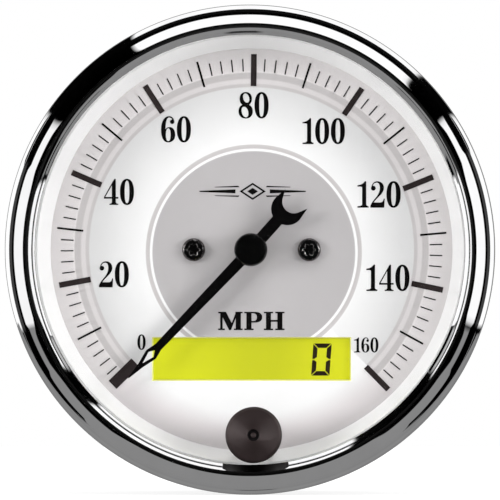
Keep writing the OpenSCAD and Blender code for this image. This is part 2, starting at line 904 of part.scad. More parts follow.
module outer_winding() {
    offset_z = winding_gap / 2 + winding_w / 2;
    color([0.72, 0.38, 0.18]) rotate([0, 90, 0]) for (side = [-1, 1]) {
        difference() {
            block(former_w + 2 * winding_t, winding_w, outer_coil_front, outer_coil_back,
                0, side * offset_z);
            block(former_w, winding_w + 2, inner_coil_front, inner_coil_back,
                0, side * offset_z);
        }
    }
}

module shield_can() {
    color([0.6, 0.6, 0.62]) turned([
        [snout_r + 0.5, shield_front], [shield_r, shield_front],
        [shield_r, movement_flange_back], [shield_r - shield_t, movement_flange_back],
        [shield_r - shield_t, shield_front + shield_t], [snout_r + 0.5, shield_front + shield_t]
    ]);
}

module movement_terminals() {
    color([0.85, 0.7, 0.35]) terminals(terminal_r, movement_flange_y, main_back + 1);
}

module front_bearing() {
    color([0.8, 0.65, 0.3])
        tube(bearing_r, spindle_r + 0.03, snout_front, snout_front + front_bearing_len);
}

module rear_bearing() {
    color([0.8, 0.65, 0.3]) difference() {
        rod(bearing_r, rear_bearing_y, rear_bearing_y + rear_bearing_len);
        rod(spindle_r + 0.03, rear_bearing_y - 1, spindle_back + 0.1);
    }
}

module spindle() {
    color("silver") rod(spindle_r, bush_front, spindle_back);
}

module magnet() {
    color([0.25, 0.25, 0.27])
        tube(magnet_r, spindle_r, former_mid - magnet_t / 2, former_mid + magnet_t / 2);
}

module pointer_bush() {
    color([0.8, 0.65, 0.3]) tube(pointer_bush_r, spindle_r, bush_front, bush_back);
}

// A flat shape as thick as the pointer
module leaf() {
    slab(pointer_y, pointer_back) children();
}

// The arm along the plus X line, with the open diamond
module arm() {
    diamond_y = pointer_len - diamond_len;
    widest = diamond_y + diamond_len * 0.25;
    narrow = diamond_y + diamond_len * 0.6;
    bar = 0.5;
    difference() {
        leaf() polygon([
            [0, arm_w / 2], [diamond_y, arm_tip_w / 2], [widest, diamond_w / 2],
            [narrow, bar], [pointer_len, 0.08], [pointer_len, -0.08],
            [narrow, -bar], [widest, -diamond_w / 2], [diamond_y, -arm_tip_w / 2],
            [0, -arm_w / 2]
        ]);
        slab(pointer_y - 1, pointer_back + 1) polygon([
            [diamond_y + 0.9, 0], [widest, diamond_w / 2 - bar],
            [narrow - bar, 0], [widest, -diamond_w / 2 + bar]
        ]);
    }
}

// The crescent tail along the plus X line: a neck and two horns round a jaw
module tail() {
    jaw_r = tail_r * 0.72;
    jaw_x = tail_len + tail_r * 0.6;
    throat_x = jaw_x - jaw_r * 0.42;
    throat_w = sqrt(jaw_r * jaw_r - pow(jaw_x - throat_x, 2));
    horn_x = tail_len + tail_r * 0.82;
    horn_w = tail_r * 0.9;
    difference() {
        union() {
            leaf() translate([0, -arm_w / 2]) square([tail_len, arm_w]);
            rod(tail_r, pointer_y, pointer_back, tail_len, 0);
            leaf() polygon([
                [tail_len, tail_r], [horn_x, horn_w], [throat_x, 0],
                [horn_x, -horn_w], [tail_len, -tail_r]
            ]);
        }
        rod(jaw_r, pointer_y - 1, pointer_back + 1, jaw_x, 0);
        slab(pointer_y - 1, pointer_back + 1) polygon([
            [throat_x, -throat_w], [horn_x, -horn_w], [horn_x + tail_r, -horn_w],
            [horn_x + tail_r, horn_w], [horn_x, horn_w], [throat_x, throat_w]
        ]);
    }
}

module pointer() {
    color([0.05, 0.05, 0.05]) difference() {
        union() {
            rotate([0, -pointer_angle, 0]) arm();
            rotate([0, -pointer_angle - 180 - tail_turn, 0]) tail();
            rod(hub_r - 0.3, pointer_y, pointer_back);
        }
        rod(pointer_bush_r, pointer_y - 1, pointer_back + 1);
    }
}

module hub_cap() {
    top = pointer_y - hub_h;
    dome = 0.9;
    color([0.04, 0.04, 0.04]) difference() {
        turned(concat(
            [[0, top], [hub_r - dome, top]],
            arc(hub_r - dome, top + dome, dome, 90, 0, 8),
            [[hub_r, pointer_y], [0, pointer_y]]
        ));
        rod(pointer_bush_r, bush_front - 0.1, pointer_y + 1);
    }
}

module button_cap() {
    edge_y = button_top + 0.9;
    dimple_r = 1.05;
    color([0.12, 0.12, 0.12]) difference() {
        translate([button_x, 0, button_z]) turned([
            [0, button_top + 0.25], [dimple_r - 0.25, button_top + 0.25],
            [dimple_r, button_top], [button_r - 0.5, edge_y - 0.3], [button_r, edge_y],
            [button_r, button_foot], [button_r - button_wall, button_foot],
            [button_r - button_wall, button_roof], [stem_r + 0.9, button_roof],
            [stem_r + 0.9, boss_foot], [0, boss_foot]
        ]);
        rod(stem_r, stem_front - 0.1, boss_foot + 1, button_x, button_z);
    }
}

module button_stem() {
    color("silver") rod(stem_r, stem_front, plunger_front, button_x, button_z);
}

module button_bush() {
    color([0.2, 0.2, 0.21]) difference() {
        union() {
            rod(bush_r, bush_front_y, bush_back_y, button_x, button_z);
            rod(bush_flange_r, bush_front_y, lens_front, button_x, button_z);
        }
        rod(stem_r + running, bush_front_y - 1, bush_back_y + 1, button_x, button_z);
    }
}

module bush_retainer() {
    color("silver")
        tube(retainer_r, bush_r, lens_back, lens_back + retainer_t, button_x, button_z);
}

module stem_clip() {
    color("silver") tube(clip_r, stem_r, clip_y, clip_back, button_x, button_z);
}

// The return spring, one round wire from the clip to the dial
module button_spring() {
    steps = 8 * spring_turns;
    start = clip_back + spring_wire / 2 + running;
    finish = dial_y - spring_wire / 2 - running;
    points = [for (i = [0:steps]) let (
            t = i / steps,
            a = 360 * spring_turns * t,
            out = [cos(a), 0, sin(a)],
            middle = [button_x, start + (finish - start) * t, button_z] + spring_r * out
        ) each wire_ring(middle, out, [0, 1, 0], spring_wire / 2)];
    color("silver") polyhedron(points, wire_faces(steps + 1));
}

// A lamp holder: a turned body with two lugs inside the case and a grip outside
module lamp_holder(side) {
    lug_back = case_back_in - 0.1;
    flange_y = case_depth + holder_flange_t;
    difference() {
        union() {
            rod(holder_r, holder_front, case_depth + 0.5, side * lamp_x, lamp_z);
            rod(holder_flange_r, case_depth, flange_y, side * lamp_x, lamp_z);
            block(2 * lug_r, lug_w, lug_back - lug_t, lug_back, side * lamp_x, lamp_z);
            intersection() {
                rod(holder_r, flange_y - 0.5, flange_y + grip_h, side * lamp_x, lamp_z);
                block(2 * holder_r, holder_r, flange_y - 1, flange_y + grip_h + 1,
                    side * lamp_x, lamp_z);
            }
        }
        rod(bulb_r + 0.1, holder_front - 1, bulb_back + 0.1, side * lamp_x, lamp_z);
    }
}

module bulb(side) {
    dome = bulb_r * 0.9;
    translate([side * lamp_x, 0, lamp_z]) turned(concat(
        [[0, bulb_front]],
        [[bulb_r - dome, bulb_front]],
        arc(bulb_r - dome, bulb_front + dome, dome, 90, 0, 8),
        [[bulb_r, bulb_back], [0, bulb_back]]
    ));
}

module connector_housing() {
    inner_w = connector_w - 2 * connector_wall;
    inner_h = connector_h - 2 * connector_wall;
    color([0.09, 0.09, 0.1]) difference() {
        block(connector_w, connector_h, main_back, connector_back, connector_x, connector_z);
        block(inner_w, inner_h, main_back + connector_base_t, connector_back + 1,
            connector_x, connector_z);
        block(connector_w, key_w, connector_back - 4, connector_back + 1,
            connector_x + connector_w / 2, connector_z);
        pin_rods(pin_w, main_back - 1, main_back + connector_base_t + 1);
    }
}

module connector_pins() {
    color([0.85, 0.7, 0.35]) pin_rods(pin_w, pin_front, pin_back);
}

module studs() {
    tip = 0.6;
    color([0.75, 0.76, 0.78]) for (side = [-1, 1]) {
        translate([0, 0, side * stud_z]) turned([
            [0, case_back_in], [stud_r, case_back_in], [stud_r, stud_end - tip],
            [stud_r - tip, stud_end], [0, stud_end]
        ]);
        translate([0, case_back_in - stud_head_t, side * stud_z]) rotate([-90, 0, 0])
            cylinder(r = stud_head_r, h = stud_head_t, $fn = 6);
    }
}

// The strap's side view in depth and height
module strap_outline() {
    inner_bend = strap_bend_r - strap_t;
    foot_y = foot_gap;
    polygon(concat(
        [[foot_y, strap_in], [foot_y, strap_out]],
        [for (a = [90:-15:0]) [bar_back - strap_bend_r + strap_bend_r * cos(a),
            strap_out - strap_bend_r + strap_bend_r * sin(a)]],
        [for (a = [0:-15:-90]) [bar_back - strap_bend_r + strap_bend_r * cos(a),
            -strap_out + strap_bend_r + strap_bend_r * sin(a)]],
        [[foot_y, -strap_out], [foot_y, -strap_in]],
        [for (a = [-90:15:0]) [bar_y - inner_bend + inner_bend * cos(a),
            -strap_in + inner_bend + inner_bend * sin(a)]],
        [for (a = [0:15:90]) [bar_y - inner_bend + inner_bend * cos(a),
            strap_in - inner_bend + inner_bend * sin(a)]]
    ));
}

module bracket() {
    color([0.78, 0.79, 0.8]) difference() {
        translate([-strap_w / 2, 0, 0]) rotate([90, 0, 90])
            linear_extrude(strap_w) strap_outline();
        for (side = [-1, 1]) {
            rod(stud_r + clear, bar_y - 1, bar_back + 1, 0, side * stud_z);
        }
    }
}

module washers() {
    color([0.7, 0.71, 0.73]) for (side = [-1, 1]) {
        tube(washer_r, stud_r + clear, bar_back, washer_back, 0, side * stud_z);
    }
}

// A thumb nut: a plain collar and a knurled head
module nut(side) {
    collar_r = washer_r - 0.2;
    groove_r = 0.35;
    difference() {
        union() {
            rod(collar_r, washer_back, washer_back + nut_collar_h + 0.5, 0, side * stud_z);
            rod(nut_r, washer_back + nut_collar_h, nut_back, 0, side * stud_z);
        }
        rod(stud_r + running, washer_back - 1, nut_back + 1, 0, side * stud_z);
        for (i = [0:nut_grooves - 1]) {
            place = around(nut_r, 360 / nut_grooves * i);
            rod(groove_r, washer_back + nut_collar_h - 0.1, nut_back + 1,
                place[0], side * stud_z + place[1]);
        }
    }
}

bezel();
lens();
front_seal();
rear_seal();
case();
light_ring();
dial_plate();
dial_scale();
dial_screws();
light_guide();
carrier();
display_panel();
display_backlight();
contact_strips();
display_board();
display_board_screws();
switch_body();
switch_plunger();
main_board();
main_board_screws();
controller_chip();
capacitors();
regulator();
crystal();
ribbon_link();
former_front_half();
former_rear_half();
inner_winding();
outer_winding();
shield_can();
movement_terminals();
front_bearing();
rear_bearing();
spindle();
magnet();
pointer_bush();
pointer();
hub_cap();
button_cap();
button_stem();
button_bush();
bush_retainer();
button_spring();
stem_clip();
color([0.1, 0.1, 0.1]) lamp_holder(-1);  // lamp_holder_left
color([0.1, 0.1, 0.1]) lamp_holder(1);  // lamp_holder_right
color([0.9, 0.95, 1, 0.5]) bulb(-1);  // bulb_left
color([0.9, 0.95, 1, 0.5]) bulb(1);  // bulb_right
connector_housing();
connector_pins();
studs();
bracket();
washers();
color([0.75, 0.76, 0.78]) nut(1);  // nut_upper
color([0.75, 0.76, 0.78]) nut(-1);  // nut_lower
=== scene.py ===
"""Looks of a round dashboard speedometer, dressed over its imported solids.

Lengths are in millimetres until a mesh is made, and the frame is the part's own: the dial
faces -Y, X is right and Z is up for someone who reads it, and the axis goes through 0, 0.
"""

import json
import logging
import math
from dataclasses import dataclass
from enum import Enum
from functools import cache
from typing import Callable, Iterable, Sequence

import bmesh
import bpy
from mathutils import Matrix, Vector
from mathutils.geometry import delaunay_2d_cdt


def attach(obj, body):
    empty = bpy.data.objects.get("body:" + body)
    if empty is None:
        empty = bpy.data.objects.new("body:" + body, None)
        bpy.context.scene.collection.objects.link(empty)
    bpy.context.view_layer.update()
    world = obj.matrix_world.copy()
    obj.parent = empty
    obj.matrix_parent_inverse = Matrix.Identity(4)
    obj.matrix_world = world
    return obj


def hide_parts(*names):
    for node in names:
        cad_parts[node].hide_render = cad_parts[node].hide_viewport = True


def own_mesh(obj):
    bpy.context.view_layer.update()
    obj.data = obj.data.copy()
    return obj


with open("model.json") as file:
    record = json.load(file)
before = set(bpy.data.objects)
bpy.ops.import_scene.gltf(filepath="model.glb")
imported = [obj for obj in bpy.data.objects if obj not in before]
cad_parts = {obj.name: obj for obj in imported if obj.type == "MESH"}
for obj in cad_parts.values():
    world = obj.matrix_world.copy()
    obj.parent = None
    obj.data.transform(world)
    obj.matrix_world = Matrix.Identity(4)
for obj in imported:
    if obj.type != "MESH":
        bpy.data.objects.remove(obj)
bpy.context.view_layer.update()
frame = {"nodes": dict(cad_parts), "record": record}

MM = 0.001
LOG = logging.getLogger("speedometer")

Point = tuple[float, float]
Loop = list[Point]
Shape = list[Loop]
Triple = tuple[float, float, float]
Sectors = tuple[Triple, ...]
Colour = Triple
Stop = tuple[float, Colour]

# Where something starts, and the width over which it does.
Edge = tuple[float, float]

# The dial's face, the button's axis and how far each dial screw is from the spindle.
DIAL_Y = 4.5
BUTTON_AT: Point = (0.7, -32.25)
SCREW_X = 10.1

# Thickness of the capitals' feet and tops, for letters one unit high.
SERIF = 0.085

# Strength of what only gloss sees.
MIRROR_STRENGTH = 1.05

PURE_WHITE: Colour = (1.0, 1.0, 1.0)


def from_screen(red: int, green: int, blue: int) -> Colour:
    """Turn a colour as a screen shows it into linear values.

    Args:
        red: Red from 0 to 255.
        green: Green from 0 to 255.
        blue: Blue from 0 to 255.

    Returns:
        The three linear values.
    """
    def linear(level: int) -> float:
        """One channel."""
        share = level / 255
        return share / 12.92 if share <= 0.04045 else ((share + 0.055) / 1.055) ** 2.4

    return linear(red), linear(green), linear(blue)


def grey(level: int) -> Colour:
    """Linear values of a neutral screen level."""
    return from_screen(level, level, level)


def warm(level: int) -> Colour:
    """Linear values of a slightly warm grey whose red has the given screen level."""
    return from_screen(level, level - 4, level - 4)


class Value:
    """A node's output socket. Python's operators on it add Math nodes."""

    def __init__(self, net: "Net", socket: bpy.types.NodeSocket) -> None:
        """Keep the socket and the net it is part of."""
        self.net = net
        self.socket = socket

    def _math(self, operation: str, *others: "Number", flip: bool = False) -> "Value":
        """Add one Math node with this value first, or second where flip is set.

        Args:
            operation: The Math node's operation.
            others: The values that go with this one.
            flip: Whether this value comes last.

        Returns:
            The result.
        """
        values: list[Number] = [self, *others]
        if flip:
            values.reverse()
        settings = {"operation": operation}
        return self.net.node("ShaderNodeMath", settings, dict(enumerate(values)))

    def __add__(self, other: "Number") -> "Value":
        """Sum."""
        return self._math("ADD", other)

    __radd__ = __add__

    def __sub__(self, other: "Number") -> "Value":
        """Difference."""
        return self._math("SUBTRACT", other)

    def __rsub__(self, other: "Number") -> "Value":
        """Difference, with a plain number first."""
        return self._math("SUBTRACT", other, flip=True)

    def __mul__(self, other: "Number") -> "Value":
        """Product."""
        return self._math("MULTIPLY", other)

    __rmul__ = __mul__

    def __truediv__(self, other: "Number") -> "Value":
        """Quotient."""
        return self._math("DIVIDE", other)

    def __rtruediv__(self, other: "Number") -> "Value":
        """Quotient, with a plain number first."""
        return self._math("DIVIDE", other, flip=True)

    def __pow__(self, other: "Number") -> "Value":
        """Power."""
        return self._math("POWER", other)

    def __neg__(self) -> "Value":
        """Opposite."""
        return self._math("MULTIPLY", -1.0)

    def __abs__(self) -> "Value":
        """Size without sign."""
        return self._math("ABSOLUTE")

    def fraction(self) -> "Value":
        """What is left of the value past the last whole number."""
        return self._math("FRACT")

    def sine(self) -> "Value":
        """Sine of the value in radians."""
        return self._math("SINE")

    def lesser(self, other: "Number") -> "Value":
        """The lesser of two values."""
        return self._math("MINIMUM", other)

    def greater(self, other: "Number") -> "Value":
        """The greater of two values."""
        return self._math("MAXIMUM", other)

    def angle_over(self, other: "Number") -> "Value":
        """Angle whose sine goes with this value and whose cosine goes with the other."""
        return self._math("ARCTAN2", other)

    def past(self, edge: float, width: float) -> "Value":
        """0 below an edge and 1 above it, with a straight rise of the given width."""
        rise = (self - edge) / width + 0.5
        return rise.lesser(1.0).greater(0.0)

    def output(self, name: str | int) -> "Value":
        """Another output of the same node."""
        return Value(self.net, self.socket.node.outputs[name])


Number = Value | float
Given = Callable[[str], Value]


def off_axis(x: Value, z: Value) -> Value:
    """Distance from the axis, or from the place that x and z count from."""
    return (x * x + z * z) ** 0.5


def sector_of(x: Value, z: Value) -> Value:
    """Angle about the axis as a share of a turn, counted from the right towards the top."""
    return (z.angle_over(x) / (2 * math.pi) + 1.0).fraction()


class Net:
    """A node tree and the one method that adds nodes to it."""

    def __init__(self, tree: bpy.types.NodeTree) -> None:
        """Empty the tree."""
        self.tree = tree
        tree.nodes.clear()

    def node(self, kind: str, settings: dict | None = None, inputs: dict | None = None,
             output: str | int = 0) -> Value:
        """Add a node.

        Args:
            kind: The node's type.
            settings: Values of its properties. "stops" gives a ramp its places and colours.
            inputs: Values or links of its sockets, by name or place.
            output: The output that is returned.

        Returns:
            The chosen output, or the first input of a node that has no outputs.
        """
        made = self.tree.nodes.new(kind)
        for name, value in (settings or {}).items():
            if name == "stops":
                self._set_stops(made.color_ramp, value)
            else:
                setattr(made, name, value)
        for name, value in (inputs or {}).items():
            socket = made.inputs[name]
            if isinstance(value, Value):
                self.tree.links.new(value.socket, socket)
            elif isinstance(value, tuple) and len(value) == 3 and socket.type == "RGBA":
                socket.default_value = (*value, 1.0)
            else:
                socket.default_value = value
        if not made.outputs:
            return Value(self, made.inputs[0])
        return Value(self, made.outputs[output])

    @staticmethod
    def _set_stops(ramp: bpy.types.ColorRamp, stops: Sequence[Stop]) -> None:
        """Give a ramp its places and colours, in rising order.

        Args:
            ramp: The ramp of a new node.
            stops: Its places and colours.
        """
        while len(ramp.elements) > 1:
            ramp.elements.remove(ramp.elements[-1])
        ramp.elements[0].position = stops[0][0]
        ramp.elements[0].color = (*stops[0][1], 1.0)
        for place, colour in stops[1:]:
            ramp.elements.new(place).color = (*colour, 1.0)

    def ramp(self, value: Value, stops: Sequence[Stop]) -> Value:
        """A colour that follows a value through its stops."""
        return self.node("ShaderNodeValToRGB", {"stops": stops}, {0: value})

    def blend(self, share: Number, first: Value | Colour, second: Value | Colour) -> Value:
        """The first colour where share is 0 and the second where it is 1.

        Args:
            share: Where between the two, from 0 to 1.
            first: The first colour.
            second: The second colour.

        Returns:
            The colour.
        """
        first_colour, second_colour = 6, 7
        return self.node("ShaderNodeMix", {"data_type": "RGBA"},
                         {0: share, first_colour: first, second_colour: second}, output=2)

    def mix(self, share: Number, first: Value, second: Value) -> Value:
        """The first shader where share is 0 and the second where it is 1."""
        return self.node("ShaderNodeMixShader", inputs={0: share, 1: first, 2: second})

    def tint(self, colour: Value | Colour, strength: Value) -> Value:
        """A colour made lighter or darker by a value about 1."""
        return self.node("ShaderNodeVectorMath", {"operation": "SCALE"},
                         {0: colour, "Scale": strength})

    def vector(self, x: Number = 0.0, y: Number = 0.0, z: Number = 0.0) -> Value:
        """Three numbers as one vector."""
        return self.node("ShaderNodeCombineXYZ", inputs={0: x, 1: y, 2: z})

    def parts(self, vector: Value) -> tuple[Value, Value, Value]:
        """The three numbers of a vector."""
        split = self.node("ShaderNodeSeparateXYZ", inputs={0: vector})
        return split.output("X"), split.output("Y"), split.output("Z")

    def row(self, piece: Value, count: Number, start: Number, step: Number) -> Value:
        """Copies of a piece at even steps along Z.

        Args:
            piece: The piece's geometry.
            count: Number of copies.
            start: Where the first is.
            step: The way from each to the next.

        Returns:
            The copies.
        """
        points = self.node("GeometryNodeMeshLine", {"mode": "OFFSET"}, {
            "Count": count, "Start Location": self.vector(z=start),
            "Offset": self.vector(z=step)})
        return self.node("GeometryNodeInstanceOnPoints", inputs={
            "Points": points, "Instance": piece})

    def place(self) -> tuple[Value, Value, Value]:
        """Object coordinates in millimetres."""
        coords = self.node("ShaderNodeTexCoord", output="Object")
        return tuple(part * (1 / MM) for part in self.parts(coords))

    def noise(self, size: float, detail: float = 2.0, stretch: Triple = (1.0, 1.0, 1.0)) -> Value:
        """Soft noise about 0.5 in object coordinates.

        Args:
            size: Width of its features in millimetres.
            detail: How many finer layers it has.
            stretch: How much longer the features are along each axis.

        Returns:
            The noise's value.
        """
        coords = self.node("ShaderNodeTexCoord", output="Object")
        scale = tuple(1 / (size * MM * along) for along in stretch)
        mapped = self.node("ShaderNodeMapping", inputs={"Vector": coords, "Scale": scale})
        return self.node("ShaderNodeTexNoise", inputs={
            "Vector": mapped, "Scale": 1.0, "Detail": detail})

    def cells(self, size: float) -> Value:
        """Distance from the middle of irregular cells, for spark-eroded grain.

        Args:
            size: Width of a cell in millimetres.

        Returns:
            The distance.
        """
        coords = self.node("ShaderNodeTexCoord", output="Object")
        return self.node("ShaderNodeTexVoronoi", inputs={
            "Vector": coords, "Scale": 1 / (size * MM)})


def new_material(name: str) -> tuple[bpy.types.Material, Net]:
    """Make a material, and give it with the net of its empty tree.

    Args:
        name: The material's name.

    Returns:
        The material and its net.
    """
    made = bpy.data.materials.new(name)
    made.use_nodes = True
    return made, Net(made.node_tree)


@dataclass(frozen=True)
class Finish:
    """A surface: its colour, gloss and grain. Kinds of finish change what the methods draw."""

    name: str
    colour: Colour
    roughness: float = 0.5
    metallic: float = 0.0
    coat: float = 0.0
    specular: float = 0.5
    grain_size: float = 0.5
    grain_depth: float = 0.002
    mottle: float = 0.08
    mottle_size: float = 6.0
    wear: float = 0.08
    edge_round: float = 0.0

    def drift(self, net: Net, detail: float = 3.0) -> Value:
        """A value that strays a little from 1 over broad areas."""
        return 1.0 + (net.noise(self.mottle_size, detail) - 0.5) * (2 * self.mottle)

    def draw_colour(self, net: Net) -> Value:
        """The base colour with broad, faint unevenness."""
        return net.tint(self.colour, self.drift(net))

    def draw_roughness(self, net: Net) -> Value:
        """Roughness with handling marks.

        Args:
            net: The material's net.

        Returns:
            The roughness.
        """
        rubbed_width, fine_width, fine_share = 0.6, 2, 0.5
        wear_and_glint_rings = net.noise(self.mottle_size * rubbed_width, detail=4.0) - 0.5
        fine = net.noise(self.grain_size * fine_width) - 0.5
        return self.roughness + (wear_and_glint_rings + fine * fine_share) * (2 * self.wear)

    def draw_height(self, net: Net) -> Value:
        """Height of the grain in millimetres."""
        return net.noise(self.grain_size, detail=3.0) * self.grain_depth

    def draw_normal(self, net: Net) -> Value:
        """The grain as a bump, over edges that look slightly rounded.

        Args:
            net: The material's net.

        Returns:
            The normal.
        """
        inputs = {"Height": self.draw_height(net), "Distance": MM}
        if self.edge_round > 0:
            inputs["Normal"] = net.node("ShaderNodeBevel", {"samples": 4},
                                        {"Radius": self.edge_round * MM})
        return net.node("ShaderNodeBump", inputs=inputs)

    def draw_extra(self, net: Net) -> dict:
        """More inputs of the shader, where a kind of finish has them."""
        return {}

    @cache
    def material(self) -> bpy.types.Material:
        """Make the material once and return it each time.

        Returns:
            The material.
        """
        made, net = new_material(self.name)
        shader = net.node("ShaderNodeBsdfPrincipled", inputs={
            "Base Color": self.draw_colour(net),
            "Roughness": self.draw_roughness(net),
            "Metallic": self.metallic,
            "Coat Weight": self.coat,
            "Specular IOR Level": self.specular,
            "Normal": self.draw_normal(net),
            **self.draw_extra(net),
        })
        net.node("ShaderNodeOutputMaterial", inputs={"Surface": shader})
        return made


@dataclass(frozen=True)
class Moulded(Finish):
    """Moulded plastic with the fine pitted grain of its tool."""

    def draw_height(self, net: Net) -> Value:
        """Small pits, and a slight sink over broad areas.

        Args:
            net: The material's net.

        Returns:
            The height in millimetres.
        """
        pits = net.cells(self.grain_size)
        sink = net.noise(self.mottle_size * 2, detail=1.0)
        return pits * self.grain_depth + sink * (self.grain_depth * 2)


@dataclass(frozen=True)
class Turned(Moulded):
    """Plastic from a turned tool: very fine rings round the button's own axis."""

    centre: Point = BUTTON_AT
    pitch: float = 0.11
    slope: float = 0.56
    least_radius: float = 0.01
    gloss: Colour = (1.0, 0.85, 0.84)

    def draw_normal(self, net: Net) -> Value:
        """The grain's normal, tipped in and out by the rings.

        Args:
            net: The material's net.

        Returns:
            The normal.
        """
        x, _, z = net.place()
        across, up = x - self.centre[0], z - self.centre[1]
        radius = off_axis(across, up).greater(self.least_radius)
        tip = (radius * (2 * math.pi / self.pitch)).sine() * self.slope / radius
        tipped = net.vector(x=across * tip, z=up * tip)
        both = net.node("ShaderNodeVectorMath", {"operation": "ADD"},
                        {0: super().draw_normal(net), 1: tipped})
        return net.node("ShaderNodeVectorMath", {"operation": "NORMALIZE"}, {0: both})

    def draw_extra(self, net: Net) -> dict:
        """A faintly warm gloss."""
        return {"Specular Tint": self.gloss}


@dataclass(frozen=True)
class Brushed(Finish):
    """Metal with fine lines along one axis."""

    line: Triple = (1.0, 40.0, 1.0)

    def draw_height(self, net: Net) -> Value:
        """Lines from noise that is stretched along the axis."""
        return net.noise(self.grain_size, stretch=self.line) * self.grain_depth

    def draw_roughness(self, net: Net) -> Value:
        """Roughness that follows the lines."""
        lines = net.noise(self.grain_size, stretch=self.line) - 0.5
        return self.roughness + lines * (2 * self.wear)


@dataclass(frozen=True)
class ZincPlate(Finish):
    """Zinc plating: cool metal under a blotched, slightly yellow skin."""

    patch: Colour = (0.62, 0.58, 0.47)
    patch_share: float = 0.5
    patch_edge: Edge = (0.52, 0.25)
    spot: Colour = (0.36, 0.36, 0.37)
    spot_share: float = 0.35
    spot_size: float = 1.1
    spot_edge: Edge = (0.66, 0.1)

    def draw_colour(self, net: Net) -> Value:
        """Cool metal with warmer patches and small dull spots.

        Args:
            net: The material's net.

        Returns:
            The colour.
        """
        patches = net.noise(self.mottle_size, detail=3.0).past(*self.patch_edge)
        skin = net.blend(patches * self.patch_share, self.colour, self.patch)
        spots = net.noise(self.spot_size).past(*self.spot_edge)
        return net.blend(spots * self.spot_share, skin, self.spot)


@dataclass(frozen=True)
class Chrome(Finish):
    """Bright chrome with hairline polishing marks."""

    hairline: Triple = (12.0, 1.0, 12.0)
    streak_size: float = 9.0
    streak_edge: Edge = (0.6, 0.2)

    def draw_height(self, net: Net) -> Value:
        """Very shallow hairlines across the axis."""
        return net.noise(self.grain_size, detail=1.0, stretch=self.hairline) * self.grain_depth

    def draw_roughness(self, net: Net) -> Value:
        """A few duller streaks."""
        streak = net.noise(self.streak_size, detail=3.0).past(*self.streak_edge)
        return self.roughness + streak * self.wear


@dataclass(frozen=True)
class Glass(Finish):
    """A clear piece: nearly see-through, with gloss that grows towards grazing views."""

    clear: float = 0.06
    rim: float = 0.35
    bending: float = 1.45
    smudge: float = 0.01
    smudge_size: float = 7.0
    smudge_edge: Edge = (0.6, 0.3)

    def draw_extra(self, net: Net) -> dict:
        """Alpha from the Fresnel share, with faint smudges.

        Args:
            net: The material's net.

        Returns:
            The alpha, by its input's name.
        """
        share = net.node("ShaderNodeFresnel", inputs={"IOR": self.bending})
        smudges = net.noise(self.smudge_size, detail=4.0).past(*self.smudge_edge) * self.smudge
        return {"Alpha": self.clear + smudges + share * self.rim}


@dataclass(frozen=True)
class DialPaint(Finish):
    """Two-tone dial print: rings by radius, and a plain field below the scale with painted light.

    `white` gives the ground inside the rings by radius, and each ring is its inner and outer
    radius with the screen levels of its two edges. `plain` gives the field below the scale,
    which has no rings and whose white is painted light: brighter than the ringed ground at the
    same radius, fading towards the wall. `disc_edge` gives the grey disc and its lines, by how
    far they are from the disc's edge.
    """

    white: tuple[tuple[float, int], ...] = ((18.9, 235), (23.0, 228), (26.0, 223), (28.35, 218))
    rings: tuple[tuple[float, float, int, int], ...] = (
        (28.35, 29.05, 200, 202), (29.05, 29.85, 218, 218), (29.85, 31.0, 197, 198),
        (31.0, 31.2, 231, 231), (31.2, 38.0, 223, 202))
    ring_blur: float = 0.05
    # Painted light: this field is whiter than the ringed ground at the same radius, fading towards the
    # wall.
    plain: tuple[Stop, ...] = (
        (18.9, grey(242)), (28.5, grey(243)), (32.0, from_screen(226, 221, 222)),
        (34.5, from_screen(209, 204, 205)))
    plain_half_angle: float = 45.0
    plain_blur: float = 0.4
    disc: float = 17.7
    disc_offset: Point = (0.4, -0.5)
    disc_edge: tuple[Stop, ...] = (
        (-0.04, from_screen(178, 175, 176)), (0.04, grey(240)), (0.41, grey(240)),
        (0.49, warm(190)), (1.16, warm(198)))
    disc_lines: float = 1.2
    disc_blur: float = 0.08
    reach: float = 38.0

    def draw_colour(self, net: Net) -> Value:
        """The whole print.

        Args:
            net: The material's net.

        Returns:
            The colour.
        """
        x, _, z = net.place()
        radius = off_axis(x, z)
        stops = [(place, grey(level)) for place, level in self.white]
        for inner, outer, inner_level, outer_level in self.rings:
            stops.append((inner + self.ring_blur, warm(inner_level)))
            stops.append((outer - self.ring_blur, warm(outer_level)))
        ringed = self._by_radius(net, radius, stops)
        # The field below the scale carries painted light.
        plain = self._by_radius(net, radius, self.plain)
        from_foot = abs(x.angle_over(-z)) * (180 / math.pi)
        in_scale = from_foot.past(self.plain_half_angle, self.plain_blur)
        ground = net.blend(in_scale, plain, ringed)
        from_disc = off_axis(x - self.disc_offset[0], z - self.disc_offset[1])
        disc = self._by_radius(net, from_disc, [
            (self.disc + outwards, colour) for outwards, colour in self.disc_edge])
        off_disc = from_disc.past(self.disc + self.disc_lines, self.disc_blur)
        return net.tint(net.blend(off_disc, disc, ground), self.drift(net, detail=2.0))

    def _by_radius(self, net: Net, radius: Value, stops: Sequence[Stop]) -> Value:
        """A colour that follows a radius through its stops."""
        return net.ramp(radius / self.reach, [(r / self.reach, c) for r, c in stops])


@dataclass(frozen=True)
class ScaleInk(Finish):
    """The scale's ink: thinner and browner on the broad marks, black on the narrow ones."""

    broad: Colour = from_screen(46, 39, 39)
    first: float = -134.18
    step: float = 33.725
    reach: float = 1.2
    blur: float = 0.05

    def draw_colour(self, net: Net) -> Value:
        """Broad marks lie at even steps from the first, an angle clockwise from the top.

        Args:
            net: The material's net.

        Returns:
            The colour.
        """
        x, _, z = net.place()
        turn = (x.angle_over(z) * (180 / math.pi) - self.first) / self.step
        off_turn = abs((turn + 0.5).fraction() - 0.5)
        off_line = off_turn * off_axis(x, z) * math.radians(self.step)
        both = net.blend(off_line.past(self.reach, self.blur), self.broad, self.colour)
        return net.tint(both, self.drift(net))


